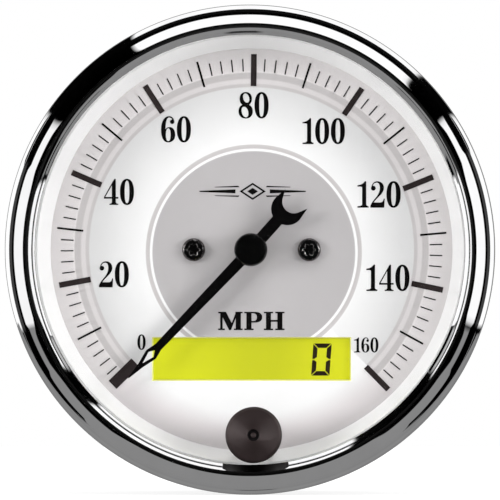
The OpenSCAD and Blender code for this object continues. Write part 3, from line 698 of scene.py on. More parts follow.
@dataclass(frozen=True)
class DisplayFilm(Finish):
    """The display's yellow-green film, lit from behind, with painted light across it."""

    middle: Colour = (0.423, 0.442, 0.009)
    right: Colour = (0.532, 0.549, 0.009)
    places: tuple[float, ...] = (0.05, 0.47, 0.62, 0.92)
    width: float = 34.8
    glow: float = 0.25

    def draw_colour(self, net: Net) -> Value:
        """Painted light: a little brighter near the two ends than in the middle, in colour and glow.

        Args:
            net: The material's net.

        Returns:
            The colour.
        """
        x, _, _ = net.place()
        across = x / self.width + 0.5
        # Painted light: the ends are brighter than the middle.
        colours = (self.colour, self.middle, self.middle, self.right)
        return net.ramp(across, list(zip(self.places, colours)))

    def draw_extra(self, net: Net) -> dict:
        """The backlight's glow."""
        return {"Emission Color": self.draw_colour(net), "Emission Strength": self.glow}


@dataclass(frozen=True)
class BlackOxide(Finish):
    """Blackened screws with painted highlights: bright rings painted on each head's rounded rim and
    round its six-lobe socket, broken into patches.

    The two heads lie at `spacing` to each side, and each painted ring is its inner and outer
    radius and how far six lobes push it out.
    """

    spacing: float = SCREW_X
    wear_and_glint_rings: tuple[Triple, ...] = ((1.62, 1.76, 0.0), (0.93, 1.06, 0.15))
    blur: float = 0.06
    steel: Colour = (0.62, 0.6, 0.6)
    lobes: float = 6.0
    patch_size: float = 0.7
    patch_edge: Edge = (0.5, 0.35)
    least_glint_share: float = 0.25

    def draw_colour(self, net: Net) -> Value:
        """Black with the painted highlight rings showing in patches.

        Args:
            net: The material's net.

        Returns:
            The colour.
        """
        x, _, z = net.place()
        across = abs(x) - self.spacing
        radius = off_axis(across, z)
        wave = (z.angle_over(across) * self.lobes + math.pi / 2).sine()
        bright: Number = 0.0
        # Each ring is a painted highlight on the head.
        for inner, outer, reach in self.wear_and_glint_rings:
            line = radius - wave * reach
            bright = line.past(inner, self.blur) * (-line).past(-outer, self.blur) + bright
        patches = net.noise(self.patch_size).past(*self.patch_edge)
        share = patches * (1 - self.least_glint_share) + self.least_glint_share
        return net.blend(bright * share, self.colour, self.steel)


@dataclass(frozen=True)
class CircuitBoard(Finish):
    """Green lacquer, paler where copper tracks lie under it."""

    pitch: float = 1.27
    over_copper: Colour = (0.05, 0.28, 0.1)
    lane_edge: Edge = (0.3, 0.05)
    crossing_edge: Edge = (0.4, 0.05)
    area_size: float = 5.0
    area_edge: Edge = (0.5, 0.02)
    cloud_size: float = 3.0
    cloud_least: float = 0.85
    cloud_gain: float = 0.3

    def draw_colour(self, net: Net) -> Value:
        """Tracks under the lacquer on a square grid.

        Args:
            net: The material's net.

        Returns:
            The colour.
        """
        x, _, z = net.place()
        lane = abs((x / self.pitch).fraction() - 0.5).past(*self.lane_edge)
        crossing = abs((z / (self.pitch * 2)).fraction() - 0.5).past(*self.crossing_edge)
        chosen = net.noise(self.area_size, detail=0.0).past(*self.area_edge)
        track = (lane * chosen + crossing * (1.0 - chosen)).lesser(1.0)
        lacquer = net.blend(track, self.colour, self.over_copper)
        clouds = net.noise(self.cloud_size) * self.cloud_gain
        return net.tint(lacquer, self.cloud_least + clouds)


@dataclass(frozen=True)
class EnamelledWire(Finish):
    """Turns of enamelled copper wire side by side."""

    wire: float = 0.3
    ridge_share: float = 0.3
    between: Colour = (0.16, 0.05, 0.02)

    def _ridge(self, net: Net) -> Value:
        """1 on the middle of a turn and 0 between two turns."""
        x, _, z = net.place()
        return abs(((x + z) * (math.pi / self.wire)).sine())

    def draw_height(self, net: Net) -> Value:
        """Round ridges, one for each turn."""
        return self._ridge(net) * (self.wire * self.ridge_share)

    def draw_colour(self, net: Net) -> Value:
        """Painted shade: darker between the turns."""
        # The colour between the turns is painted shade in the creases.
        return net.blend(self._ridge(net), self.between, self.colour)


class Paint(Enum):
    """Every finish on the speedometer."""

    CHROME = Chrome("bright_chrome", (0.96, 0.96, 0.965), 0.03, 1.0, grain_size=0.15,
                    grain_depth=0.0002, wear=0.03)
    GROOVE = Finish("groove_black", (0.004, 0.004, 0.004), 0.5, specular=0.2)
    LENS = Glass("lens_glass", (0.02, 0.02, 0.02), 0.02, clear=0.01, rim=0.5, grain_depth=0.0,
                 mottle=0.02, wear=0.01)
    RUBBER = Finish("seal_rubber", (0.012, 0.012, 0.012), 0.75, grain_depth=0.006)
    CASE = Moulded("case_black", (0.018, 0.018, 0.02), 0.45, grain_size=0.35, grain_depth=0.012,
                   edge_round=0.25)
    WHITE = Moulded("white_plastic", grey(247), 0.38, grain_size=0.3, grain_depth=0.001, mottle=0.01)
    DIAL = DialPaint("dial_print", (0.8, 0.8, 0.8), 0.42, grain_size=0.12, grain_depth=0.0006,
                     mottle=0.008, mottle_size=9.0)
    INK = ScaleInk("dial_ink", from_screen(10, 8, 8), 0.5, grain_size=0.1, grain_depth=0.001,
                   specular=0.08, mottle=0.2)
    LETTER_INK = Finish("letter_ink", from_screen(8, 6, 6), 0.5, grain_size=0.1,
                        grain_depth=0.001, specular=0.05)
    BLACK_STEEL = BlackOxide("black_oxide", (0.1, 0.09, 0.09), 0.18, 1.0, grain_size=0.2,
                             grain_depth=0.0015, wear=0.03)
    ACRYLIC = Glass("clear_acrylic", (0.7, 0.8, 0.82), 0.08, clear=0.25, rim=0.5)
    FILM = DisplayFilm("display_film", (0.574, 0.604, 0.009), 0.35, grain_size=0.2, grain_depth=0.0,
                       specular=0.2)
    # Painted highlight: the pale yellow of the dial's cut edge in the window.
    WINDOW_EDGE = Finish("window_edge", from_screen(250, 250, 170), 0.4, mottle=0.02)
    DIGIT = Finish("digit_black", from_screen(38, 26, 10), 0.35, grain_depth=0.0)
    STRIP = Finish("strip_rubber", (0.75, 0.5, 0.55), 0.7)
    BOARD = CircuitBoard("circuit_board", (0.02, 0.16, 0.06), 0.3, coat=0.3)
    STEEL = Brushed("bright_steel", (0.62, 0.62, 0.62), 0.28, 1.0, grain_size=0.12,
                    grain_depth=0.001)
    CHIP = Moulded("chip_plastic", (0.02, 0.02, 0.02), 0.5, grain_size=0.15, grain_depth=0.004)
    PLUNGER = Moulded("plunger_red", (0.45, 0.04, 0.04), 0.4)
    SLEEVE = Finish("capacitor_sleeve", (0.04, 0.07, 0.25), 0.25, coat=0.3)
    RIBBON = Brushed("ribbon", (0.5, 0.5, 0.53), 0.5, grain_size=0.5, grain_depth=0.02)
    FORMER = Moulded("former_plastic", (0.75, 0.7, 0.56), 0.45)
    COPPER = EnamelledWire("copper_wire", (0.65, 0.24, 0.09), 0.25, 1.0, coat=0.4)
    STRANDS = Finish("wire_strands", (0.62, 0.22, 0.08), 0.25, 1.0, coat=0.4, grain_size=0.2,
                     grain_depth=0.001, mottle=0.15, mottle_size=2.0)
    IRON = Brushed("shield_iron", (0.42, 0.42, 0.44), 0.35, 1.0, line=(30.0, 1.0, 30.0))
    BRASS = Brushed("brass", (0.75, 0.55, 0.22), 0.25, 1.0, grain_size=0.15, grain_depth=0.001,
                    edge_round=0.08)
    MAGNET = Finish("magnet", (0.08, 0.08, 0.085), 0.6, 0.5, grain_size=0.3, grain_depth=0.01)
    POINTER = Finish("pointer_satin", (0.001, 0.0008, 0.0009), 0.42, specular=0.03,
                     grain_size=0.15, grain_depth=0.001)
    HUB = Finish("hub_gloss", (0.0005, 0.0005, 0.0005), 0.12, specular=0.25, grain_depth=0.0002)
    BUTTON = Turned("button_moulded", (0.008, 0.0045, 0.0045), 0.36, specular=0.75,
                    grain_size=0.2, grain_depth=0.0025, mottle=0.3, mottle_size=3.0)
    # Painted shade for the button's dimple and flank.
    BUTTON_PIT = Finish("button_pit", (0.003, 0.002, 0.002), 0.6, specular=0.1)
    HOLDER = Moulded("holder_plastic", (0.03, 0.03, 0.032), 0.42, grain_size=0.3,
                     grain_depth=0.008, edge_round=0.15)
    BULB = Glass("bulb_glass", (0.8, 0.83, 0.85), 0.03, clear=0.15, rim=0.6)
    ZINC = ZincPlate("zinc_steel", (0.60, 0.61, 0.63), 0.3, 1.0, grain_size=0.4,
                     grain_depth=0.003, edge_round=0.12, wear=0.12)


SLOT_PAINT = {
    "chrome": Paint.CHROME, "lens_glass": Paint.LENS, "seal_rubber": Paint.RUBBER,
    "case_plastic": Paint.CASE, "white_plastic": Paint.WHITE, "dial_print": Paint.DIAL,
    "black_ink": Paint.INK, "black_steel": Paint.BLACK_STEEL, "clear_acrylic": Paint.ACRYLIC,
    "display_film": Paint.FILM, "strip_rubber": Paint.STRIP, "board": Paint.BOARD,
    "bright_steel": Paint.STEEL, "chip_plastic": Paint.CHIP, "plunger_plastic": Paint.PLUNGER,
    "capacitor_sleeve": Paint.SLEEVE, "ribbon": Paint.RIBBON, "former_plastic": Paint.FORMER,
    "copper_wire": Paint.COPPER, "shield_iron": Paint.IRON, "brass": Paint.BRASS,
    "magnet": Paint.MAGNET, "pointer_black": Paint.POINTER, "hub_black": Paint.HUB,
    "button_black": Paint.BUTTON, "holder_plastic": Paint.HOLDER, "bulb_glass": Paint.BULB,
    "zinc_steel": Paint.ZINC,
}


def into_scene(name: str, data: bpy.types.ID) -> bpy.types.Object:
    """Put a mesh, lamp or camera into the scene as an object.

    Args:
        name: The object's name.
        data: What the object holds.

    Returns:
        The object.
    """
    made = bpy.data.objects.new(name, data)
    bpy.context.scene.collection.objects.link(made)
    return made


def add_object(name: str, mesh: bpy.types.Mesh, paints: Sequence[Paint]) -> bpy.types.Object:
    """Put a mesh into the scene with its finishes.

    Args:
        name: The object's name.
        mesh: Its finished mesh.
        paints: Its finishes, in the order of the faces' indexes.

    Returns:
        The object.
    """
    for paint in paints:
        mesh.materials.append(paint.value.material())
    return into_scene(name, mesh)


def vertex(build: bmesh.types.BMesh, x: float, y: float, z: float) -> bmesh.types.BMVert:
    """Add a vertex at a place in millimetres."""
    return build.verts.new((x * MM, y * MM, z * MM))


def smooth(mesh: bpy.types.Mesh, crease: float) -> None:
    """Smooth a mesh, apart from edges with a greater angle than crease, in degrees.

    Args:
        mesh: The mesh.
        crease: The greatest angle that is smoothed.
    """
    for face in mesh.polygons:
        face.use_smooth = True
    mesh.set_sharp_from_angle(angle=math.radians(crease))


def mesh_from(name: str, build: bmesh.types.BMesh, crease: float = 35.0) -> bpy.types.Mesh:
    """Turn a bmesh into a smooth mesh with its sharp edges kept.

    Args:
        name: The mesh's name.
        build: The bmesh, which is freed.
        crease: Edges with a greater angle than this stay sharp, in degrees.

    Returns:
        The mesh.
    """
    mesh = bpy.data.meshes.new(name)
    build.to_mesh(mesh)
    build.free()
    smooth(mesh, crease)
    return mesh


def lathe(name: str, section: Sequence[Point], paints: Sequence[Paint], closed: bool = False,
          centres: Sequence[Point] = ((0.0, 0.0),), steps: int = 128,
          choose: Callable[[float, float], int] | None = None,
          wave: Callable[[int, float], float] | None = None) -> bpy.types.Object:
    """Turn a section about one or more axes along Y.

    Args:
        name: The object's name.
        section: Points of radius and depth. Points on the axis become poles.
        paints: The finishes.
        closed: Whether the last point joins the first.
        centres: X and Z of each axis.
        steps: Number of steps round.
        choose: Gives a face's finish index from its middle radius and depth.
        wave: Gives what is added to a section point's radius at an angle.

    Returns:
        The object.
    """
    build = bmesh.new()
    for centre in centres:
        rings = []
        for place, (radius, depth) in enumerate(section):
            if radius == 0.0:
                pole = vertex(build, centre[0], depth, centre[1])
                rings.append([pole] * steps)
                continue
            ring = []
            for step in range(steps):
                angle = 2 * math.pi * step / steps
                reach = radius + (wave(place, angle) if wave else 0.0)
                ring.append(vertex(build, centre[0] + reach * math.cos(angle), depth,
                                   centre[1] + reach * math.sin(angle)))
            rings.append(ring)
        pairs = list(zip(range(len(rings) - 1), range(1, len(rings))))
        if closed:
            pairs.append((len(rings) - 1, 0))
        for first, second in pairs:
            middle = [(a + b) / 2 for a, b in zip(section[first], section[second])]
            index = choose(*middle) if choose else 0
            for step in range(steps):
                after = (step + 1) % steps
                corners = []
                for corner in (rings[first][step], rings[first][after],
                               rings[second][after], rings[second][step]):
                    if corner not in corners:
                        corners.append(corner)
                build.faces.new(corners).material_index = index
    bmesh.ops.recalc_face_normals(build, faces=build.faces)
    return add_object(name, mesh_from(name, build), paints)


def grow(name: str, paint: Paint, draw: Callable[[Net, Given], Value],
         sizes: dict[str, float]) -> bpy.types.Object:
    """Run a geometry tree with named inputs, and keep what it makes as a plain mesh.

    Args:
        name: The object's name.
        paint: The finish.
        draw: Adds the tree's own nodes, from its net and a function that gives its inputs.
        sizes: The inputs by name. A whole number makes an integer input.

    Returns:
        The object.
    """
    tree = bpy.data.node_groups.new(name, "GeometryNodeTree")
    for size, value in sizes.items():
        kind = "NodeSocketInt" if isinstance(value, int) else "NodeSocketFloat"
        tree.interface.new_socket(size, in_out="INPUT", socket_type=kind)
    tree.interface.new_socket("Geometry", in_out="OUTPUT", socket_type="NodeSocketGeometry")
    net = Net(tree)
    drawn = draw(net, net.node("NodeGroupInput").output)
    real = net.node("GeometryNodeRealizeInstances", inputs={0: drawn})
    dressed = net.node("GeometryNodeSetMaterial", inputs={
        "Geometry": real, "Material": paint.value.material()})
    net.node("NodeGroupOutput", inputs={0: dressed})

    made = into_scene(name, bpy.data.meshes.new(name))
    modifier = made.modifiers.new("tree", "NODES")
    modifier.node_group = tree
    for item in tree.interface.items_tree:
        if item.in_out == "INPUT":
            modifier[item.identifier] = sizes[item.name]
    graph = bpy.context.evaluated_depsgraph_get()
    mesh = bpy.data.meshes.new_from_object(made.evaluated_get(graph))
    made.modifiers.remove(modifier)
    made.data = mesh
    mesh.name = made.name
    smooth(mesh, crease=30.0)
    return made


def arc(centre: Point, radius: float, start: float, end: float, steps: int) -> Loop:
    """Points of an arc of radius and depth; the angle counts from outwards to the front.

    Args:
        centre: Radius and depth of its middle.
        radius: Its own radius.
        start: Its first angle in degrees.
        end: Its last angle.
        steps: Number of steps.

    Returns:
        The points.
    """
    points = []
    for step in range(steps + 1):
        angle = math.radians(start + (end - start) * step / steps)
        points.append((centre[0] + radius * math.cos(angle), centre[1] - radius * math.sin(angle)))
    return points


def softened(points: Sequence[Point], radius: float, steps: int = 4) -> Loop:
    """Round the inner corners of an open line of points.

    Args:
        points: The line's corners.
        radius: How far from each corner the rounding starts.
        steps: Number of steps in each rounding.

    Returns:
        The line with its ends kept.
    """
    line: Loop = [points[0]]
    for before, corner, after in zip(points, points[1:], points[2:]):
        start = _toward(corner, before, radius)
        end = _toward(corner, after, radius)
        for step in range(steps + 1):
            t = step / steps
            line.append(tuple(
                (1 - t) ** 2 * a + 2 * t * (1 - t) * b + t * t * c
                for a, b, c in zip(start, corner, end)))
    line.append(points[-1])
    return line


def _toward(start: Point, end: Point, distance: float) -> Point:
    """The point at a distance from start on the way to end, half way at most.

    Args:
        start: Where the way starts.
        end: Where it ends.
        distance: How far along it the point is.

    Returns:
        The point.
    """
    length = math.dist(start, end)
    share = min(distance / length, 0.5)
    return start[0] + (end[0] - start[0]) * share, start[1] + (end[1] - start[1]) * share


def trace(start: Point, *steps: Sequence[float]) -> Loop:
    """Follow straight lines and curves from a point.

    Args:
        start: The first point.
        steps: Two numbers for a straight line to a point, six for a cubic curve.

    Returns:
        The points of the line.
    """
    curve_steps = 10
    line = [start]
    for step in steps:
        here = line[-1]
        if len(step) == 2:
            line.append(tuple(step))
            continue
        handles = [here, tuple(step[:2]), tuple(step[2:4]), tuple(step[4:])]
        for count in range(1, curve_steps + 1):
            t = count / curve_steps
            shares = ((1 - t) ** 3, 3 * t * (1 - t) ** 2, 3 * t * t * (1 - t), t ** 3)
            line.append(tuple(sum(s * h[axis] for s, h in zip(shares, handles)) for axis in (0, 1)))
    return line


def oval(x: float, y: float, half_width: float, half_height: float,
         fullness: float = 2.0, lean: float = 0.0, steps: int = 40) -> Loop:
    """An oval, fuller than an ellipse where fullness is over 2, with its sides leaning.

    Args:
        x: Where its middle is, across.
        y: Where its middle is, up.
        half_width: Half its width.
        half_height: Half its height.
        fullness: 2 for an ellipse, more for straighter sides.
        lean: Sideways shift for each unit of height.
        steps: Number of points.

    Returns:
        The points.
    """
    points = []
    for step in range(steps):
        angle = 2 * math.pi * step / steps
        across = math.copysign(abs(math.cos(angle)) ** (2 / fullness), math.cos(angle))
        up = math.copysign(abs(math.sin(angle)) ** (2 / fullness), math.sin(angle))
        points.append((x + across * half_width + lean * up * half_height, y + up * half_height))
    return points


def bar(left: float, bottom: float, right: float, top: float) -> Shape:
    """A plain rectangle."""
    return [[(left, bottom), (right, bottom), (right, top), (left, top)]]


def holds(loops: Shape, x: float, y: float) -> bool:
    """Whether a point lies inside a shape, with its holes left out.

    Args:
        loops: The shape's outlines and holes.
        x: The point's place across.
        y: Its place up.

    Returns:
        Whether it is inside.
    """
    inside = False
    for loop in loops:
        for (x0, y0), (x1, y1) in zip(loop, loop[1:] + loop[:1]):
            if (y0 > y) != (y1 > y) and x < (x1 - x0) * (y - y0) / (y1 - y0) + x0:
                inside = not inside
    return inside


class Print:
    """Flat shapes that are joined into one thin raised layer facing the front."""

    def __init__(self, front: float, back: float) -> None:
        """Keep the layer's two depths.

        Args:
            front: Depth of the layer's front.
            back: Depth of its back.
        """
        self.front = front
        self.back = back
        self.build = bmesh.new()

    def add(self, shapes: Iterable[Shape]) -> None:
        """Add shapes that may overlap, as one closed solid.

        Args:
            shapes: Each is a list of loops; a loop inside another is a hole.
        """
        shapes = list(shapes)
        corners: list[Vector] = []
        edges: list[tuple[int, int]] = []
        for loops in shapes:
            for loop in loops:
                first = len(corners)
                corners += [Vector(point) for point in loop]
                count = len(loop)
                edges += [(first + i, first + (i + 1) % count) for i in range(count)]
        weld = 1e-5
        points, _, faces, *_ = delaunay_2d_cdt(corners, edges, [], 0, weld)
        kept = []
        for face in faces:
            x = sum(points[i].x for i in face) / len(face)
            y = sum(points[i].y for i in face) / len(face)
            if any(holds(loops, x, y) for loops in shapes):
                kept.append(face)
        self._raise(points, kept)

    def _raise(self, points: Sequence[Vector], faces: Sequence[Sequence[int]]) -> None:
        """Give the flat faces their thickness.

        Args:
            points: The flat points.
            faces: The places of each face's points.
        """
        used = sorted({i for face in faces for i in face})
        fronts = {}
        backs = {}
        for i in used:
            x, z = points[i]
            fronts[i] = vertex(self.build, x, self.front, z)
            backs[i] = vertex(self.build, x, self.back, z)
        outline = {}
        for face in faces:
            self.build.faces.new([fronts[i] for i in face])
            self.build.faces.new([backs[i] for i in reversed(face)])
            for a, b in zip(face, list(face[1:]) + [face[0]]):
                if outline.pop((b, a), None) is None:
                    outline[(a, b)] = True
        for a, b in outline:
            self.build.faces.new([fronts[b], fronts[a], backs[a], backs[b]])

    def finish(self, name: str, paint: Paint) -> bpy.types.Object:
        """Make the layer's object, with its faces left flat.

        Args:
            name: The object's name.
            paint: Its finish.

        Returns:
            The object.
        """
        bmesh.ops.recalc_face_normals(self.build, faces=self.build.faces)
        mesh = bpy.data.meshes.new(name)
        self.build.to_mesh(mesh)
        self.build.free()
        return add_object(name, mesh, [paint])


class Glyph(Enum):
    """Upright figures and letters with thick stems and thin strokes, one unit high."""

    ZERO = "0"
    ONE = "1"
    TWO = "2"
    FOUR = "4"
    SIX = "6"
    EIGHT = "8"
    M = "M"
    P = "P"
    H = "H"

    def width(self) -> float:
        """Width of the glyph."""
        return {"0": 0.54, "1": 0.42, "2": 0.545, "4": 0.55, "6": 0.54, "8": 0.54,
                "M": 1.34, "P": 0.98, "H": 1.13}[self.value]

    def shapes(self) -> list[Shape]:
        """The shapes that make the glyph up."""
        return getattr(self, "_draw_" + self.name.lower())()

    def _draw_zero(self) -> list[Shape]:
        """A tall ring with heavy sides."""
        return [[oval(0.27, 0.5, 0.27, 0.505, 2.2), oval(0.27, 0.5, 0.09, 0.43, 2.5)]]

    def _draw_one(self) -> list[Shape]:
        """A stem with a flag and a foot.

        Returns:
            The shapes.
        """
        return [[trace(
            (0.0, 0.0), (0.42, 0.0), (0.42, 0.055), (0.37, 0.06, 0.335, 0.08, 0.33, 0.13),
            (0.33, 1.0), (0.275, 1.0), (0.23, 0.91, 0.12, 0.86, 0.0, 0.85), (0.0, 0.795),
            (0.09, 0.80, 0.15, 0.80, 0.175, 0.77), (0.175, 0.13),
            (0.17, 0.08, 0.13, 0.06, 0.0, 0.055))]]

    def _draw_two(self) -> list[Shape]:
        """A ball, a sweep and a heavy foot.

        Returns:
            The shapes.
        """
        sweep = trace(
            (0.035, 0.745), (0.05, 0.90, 0.14, 1.0, 0.265, 1.0),
            (0.42, 1.0, 0.515, 0.89, 0.515, 0.745), (0.515, 0.60, 0.40, 0.49, 0.27, 0.36),
            (0.20, 0.29, 0.16, 0.25, 0.13, 0.195), (0.35, 0.195),
            (0.44, 0.195, 0.49, 0.23, 0.505, 0.34), (0.545, 0.34), (0.525, 0.0),
            (0.0, 0.0), (0.0, 0.06),
            (0.03, 0.16, 0.10, 0.25, 0.19, 0.36), (0.30, 0.49, 0.36, 0.61, 0.36, 0.745),
            (0.36, 0.87, 0.32, 0.945, 0.25, 0.945), (0.17, 0.945, 0.10, 0.90, 0.09, 0.80))
        return [[sweep], [oval(0.115, 0.735, 0.09, 0.09)]]

    def _draw_four(self) -> list[Shape]:
        """A stem, a slant and a bar, with a foot.

        Returns:
            The shapes.
        """
        outer = trace(
            (0.455, 1.0), (0.455, 0.305), (0.55, 0.305), (0.55, 0.24), (0.455, 0.24),
            (0.455, 0.12), (0.46, 0.07, 0.49, 0.05, 0.55, 0.045), (0.55, 0.0), (0.21, 0.0),
            (0.21, 0.045), (0.27, 0.05, 0.30, 0.07, 0.305, 0.12), (0.305, 0.24), (0.0, 0.24),
            (0.0, 0.30), (0.40, 1.0))
        counter = [(0.305, 0.305), (0.055, 0.305), (0.305, 0.755)]
        return [[outer, counter]]

    def _draw_six(self) -> list[Shape]:
        """A heavy curve over a bowl, ending in a ball.

        Returns:
            The shapes.
        """
        body = trace(
            (0.505, 0.80), (0.49, 0.93, 0.41, 1.005, 0.31, 1.005),
            (0.11, 1.005, 0.0, 0.78, 0.0, 0.48), (0.0, 0.17, 0.10, -0.005, 0.275, -0.005),
            (0.44, -0.005, 0.54, 0.11, 0.54, 0.295), (0.54, 0.47, 0.45, 0.59, 0.33, 0.59),
            (0.26, 0.59, 0.20, 0.565, 0.17, 0.50), (0.17, 0.80, 0.22, 0.95, 0.31, 0.95),
            (0.38, 0.95, 0.43, 0.90, 0.455, 0.80))
        return [[body, oval(0.275, 0.292, 0.092, 0.243, 2.3)], [oval(0.425, 0.79, 0.085, 0.085)]]

    def _draw_eight(self) -> list[Shape]:
        """Two bowls with a heavy slanted spine.

        Returns:
            The shapes.
        """
        upper = oval(0.275, 0.745, 0.235, 0.26, 2.2)
        lower = oval(0.27, 0.27, 0.27, 0.275, 2.2)
        upper_counter = oval(0.29, 0.775, 0.115, 0.175, 2.1, -0.18)
        lower_counter = oval(0.245, 0.245, 0.125, 0.20, 2.1, -0.18)
        return [[upper, upper_counter], [lower, lower_counter]]

    def _draw_m(self) -> list[Shape]:
        """A thin stem, a heavy slant, a thin slant and a heavy stem.

        Returns:
            The shapes.
        """
        return [
            bar(0.0, 0.0, 0.37, SERIF), bar(0.115, 0.0, 0.245, 0.97), bar(0.0, 1.0 - SERIF, 0.36, 1.0),
            [[(0.09, 1.0), (0.43, 1.0), (0.785, 0.31), (0.705, 0.0), (0.60, 0.0)]],
            [[(0.60, 0.0), (0.705, 0.0), (1.05, 0.89), (0.975, 0.98)]],
            bar(0.96, 0.0, 1.245, 1.0), bar(0.94, 1.0 - SERIF, 1.34, 1.0),
            bar(0.86, 0.0, 1.34, SERIF)]

    def _draw_p(self) -> list[Shape]:
        """A heavy stem with a bowl.

        Returns:
            The shapes.
        """
        bowl = trace((0.2, 1.0), (0.54, 1.0), (0.84, 1.0, 0.98, 0.90, 0.98, 0.705),
                     (0.98, 0.51, 0.84, 0.41, 0.54, 0.41), (0.2, 0.41))
        counter = trace((0.395, 0.915), (0.48, 0.915), (0.62, 0.915, 0.69, 0.84, 0.69, 0.705),
                        (0.69, 0.57, 0.62, 0.495, 0.48, 0.495), (0.395, 0.495))
        return [[bowl, counter], bar(0.115, 0.0, 0.395, 1.0), bar(0.0, 0.0, 0.51, SERIF),
                bar(0.0, 1.0 - SERIF, 0.3, 1.0)]

    def _draw_h(self) -> list[Shape]:
        """Two heavy stems and a bar.

        Returns:
            The shapes.
        """
        return [
            bar(0.115, 0.0, 0.39, 1.0), bar(0.74, 0.0, 1.015, 1.0), bar(0.3, 0.455, 0.83, 0.555),
            bar(0.0, 0.0, 0.505, SERIF), bar(0.0, 1.0 - SERIF, 0.505, 1.0),
            bar(0.625, 0.0, 1.13, SERIF), bar(0.625, 1.0 - SERIF, 1.13, 1.0)]


@dataclass(frozen=True)
class Label:
    """A word or number on the dial, placed by its middle."""

    text: str
    x: float
    z: float
    height: float
    gap: float = 0.065

    def shapes(self) -> list[list[Shape]]:
        """The shapes of each glyph in its place.

        Returns:
            The glyphs, each a list of shapes.
        """
        glyphs = [Glyph(letter) for letter in self.text]
        total = sum(glyph.width() for glyph in glyphs) + self.gap * (len(glyphs) - 1)
        left = self.x - total * self.height / 2
        bottom = self.z - self.height / 2
        placed = []
        for glyph in glyphs:
            placed.append([
                [[(left + x * self.height, bottom + y * self.height) for x, y in loop]
                 for loop in loops]
                for loops in glyph.shapes()])
            left += (glyph.width() + self.gap) * self.height
        return placed


@dataclass
class Bezel:
    """The chrome bezel, turned from its section with a dark line in its groove."""

    outer_r: float = 42.65
    back_edge: float = 0.35
    crest_y: float = -8.8
    rim_round: float = 2.2
    groove_out_r: float = 39.2
    groove_in_r: float = 38.75
    groove_y: float = -6.9
    lip_r: float = 37.45
    lip_front: float = -5.8
    lip_back: float = -5.0
    sheet: float = 0.8
    crimp_r: float = 40.6
    groove_wall: float = 0.4
    corner: float = 0.12
    crest_steps: int = 48
    inner_steps: int = 12
    steps: int = 360

    def section(self) -> Loop:
        """The bezel's closed section.

        Returns:
            Points of radius and depth.
        """
        centre = (self.outer_r - self.rim_round, self.crest_y + self.rim_round)
        inner_round = self.rim_round - self.sheet
        crest_end = math.degrees(math.acos((self.groove_out_r - centre[0]) / self.rim_round))
        seat_r = self.groove_out_r + self.sheet
        inner_end = math.degrees(math.acos((seat_r - centre[0]) / inner_round))
        crest = arc(centre, self.rim_round, 0, crest_end, self.crest_steps)
        lip = softened([
            (self.groove_out_r, self.groove_y + self.groove_wall),
            (self.groove_out_r, self.groove_y), (self.groove_in_r, self.groove_y),
            (self.lip_r, self.lip_front), (self.lip_r, self.lip_back),
            (seat_r, self.lip_back)], self.corner)
        return [
            (self.outer_r - self.back_edge, 0.0), (self.outer_r, -self.back_edge),
            *crest, *lip,
            *arc(centre, inner_round, inner_end, 0, self.inner_steps),
            (self.outer_r - self.sheet, -self.sheet), (self.crimp_r, -self.sheet),
            (self.crimp_r, 0.0)]

    def finish_of(self, radius: float, depth: float) -> int:
        """1 for the groove's floor and walls, 0 for the chrome.

        Args:
            radius: Radius of a face's middle.
            depth: Depth of its middle.

        Returns:
            The finish's index.
        """
        beside, above = 0.02, 0.5
        in_groove = self.groove_in_r - beside < radius < self.groove_out_r + beside
        return int(in_groove and self.crest_y + above < depth < self.lip_back - above)

    def build(self) -> bpy.types.Object:
        """Make the bezel in place of the CAD node.

        Returns:
            The object.
        """
        made = lathe("bezel_ring", self.section(), [Paint.CHROME, Paint.GROOVE], closed=True,
                     steps=self.steps, choose=self.finish_of)
        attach(made, "root")
        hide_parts("bezel")
        return made


@dataclass
class DialPrint:
    """Figures, letters and a plain ornament on the dial.

    The ornament's lozenges are half widths and half heights. Its rules are corners beside and
    above its middle, and each is drawn on both sides.
    """

    dial_y: float = DIAL_Y
    raised: float = 0.04
    figures: tuple[Label, ...] = (
        Label("20", -24.07, -4.30, 4.56), Label("40", -23.18, 10.11, 4.56),
        Label("60", -13.20, 21.05, 4.56), Label("80", 0.37, 25.25, 4.60),
        Label("100", 12.63, 20.73, 4.54), Label("120", 22.31, 9.66, 4.62),
        Label("140", 23.85, -4.92, 4.60), Label("0", -19.24, -16.16, 2.69),
        Label("160", 20.06, -16.65, 2.62))
    unit: Label = Label("MPH", -0.03, -12.45, 3.2, 0.09)
    ornament: Point = (0.2, 10.2)
    lozenges: tuple[Point, ...] = ((2.3, 1.5), (1.75, 1.14), (0.95, 0.62))
    long_rule: tuple[Point, ...] = ((3.0, 0.34), (9.3, 0.1), (9.3, -0.1), (3.0, -0.34))
    short_rule: tuple[Point, ...] = ((2.5, 0.98), (6.6, 0.8), (6.6, 0.7), (2.3, 0.72))

    def build(self) -> list[bpy.types.Object]:
        """Make the figures, the unit and the ornament.

        Returns:
            The three objects.
        """
        drawn = {
            "dial_figures": [glyph for label in self.figures for glyph in label.shapes()],
            "dial_unit": self.unit.shapes(),
            "dial_ornament": [[shape] for shape in self.ornament_shapes()]}
        pieces = []
        for name, solids in drawn.items():
            layer = Print(self.dial_y - self.raised, self.dial_y)
            for shapes in solids:
                layer.add(shapes)
            pieces.append(layer.finish(name, Paint.LETTER_INK))
        for piece in pieces:
            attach(piece, "root")
        return pieces

    def ornament_shapes(self) -> list[Shape]:
        """A pierced lozenge, with a long rule between two short ones on each side.

        Returns:
            The shapes.
        """
        x, z = self.ornament
        rim, hole, heart = (self._lozenge(x, z, *size) for size in self.lozenges)
        shapes = [[rim, hole], [heart]]
        for side in (-1, 1):
            shapes.append([[(x + side * out, z + up) for out, up in self.long_rule]])
            for level in (-1, 1):
                shapes.append([[(x + side * out, z + level * up) for out, up in self.short_rule]])
        return shapes

    @staticmethod
    def _lozenge(x: float, z: float, half_width: float, half_height: float) -> Loop:
        """The four corners of a lozenge."""
        return [(x + half_width, z), (x, z + half_height), (x - half_width, z), (x, z - half_height)]


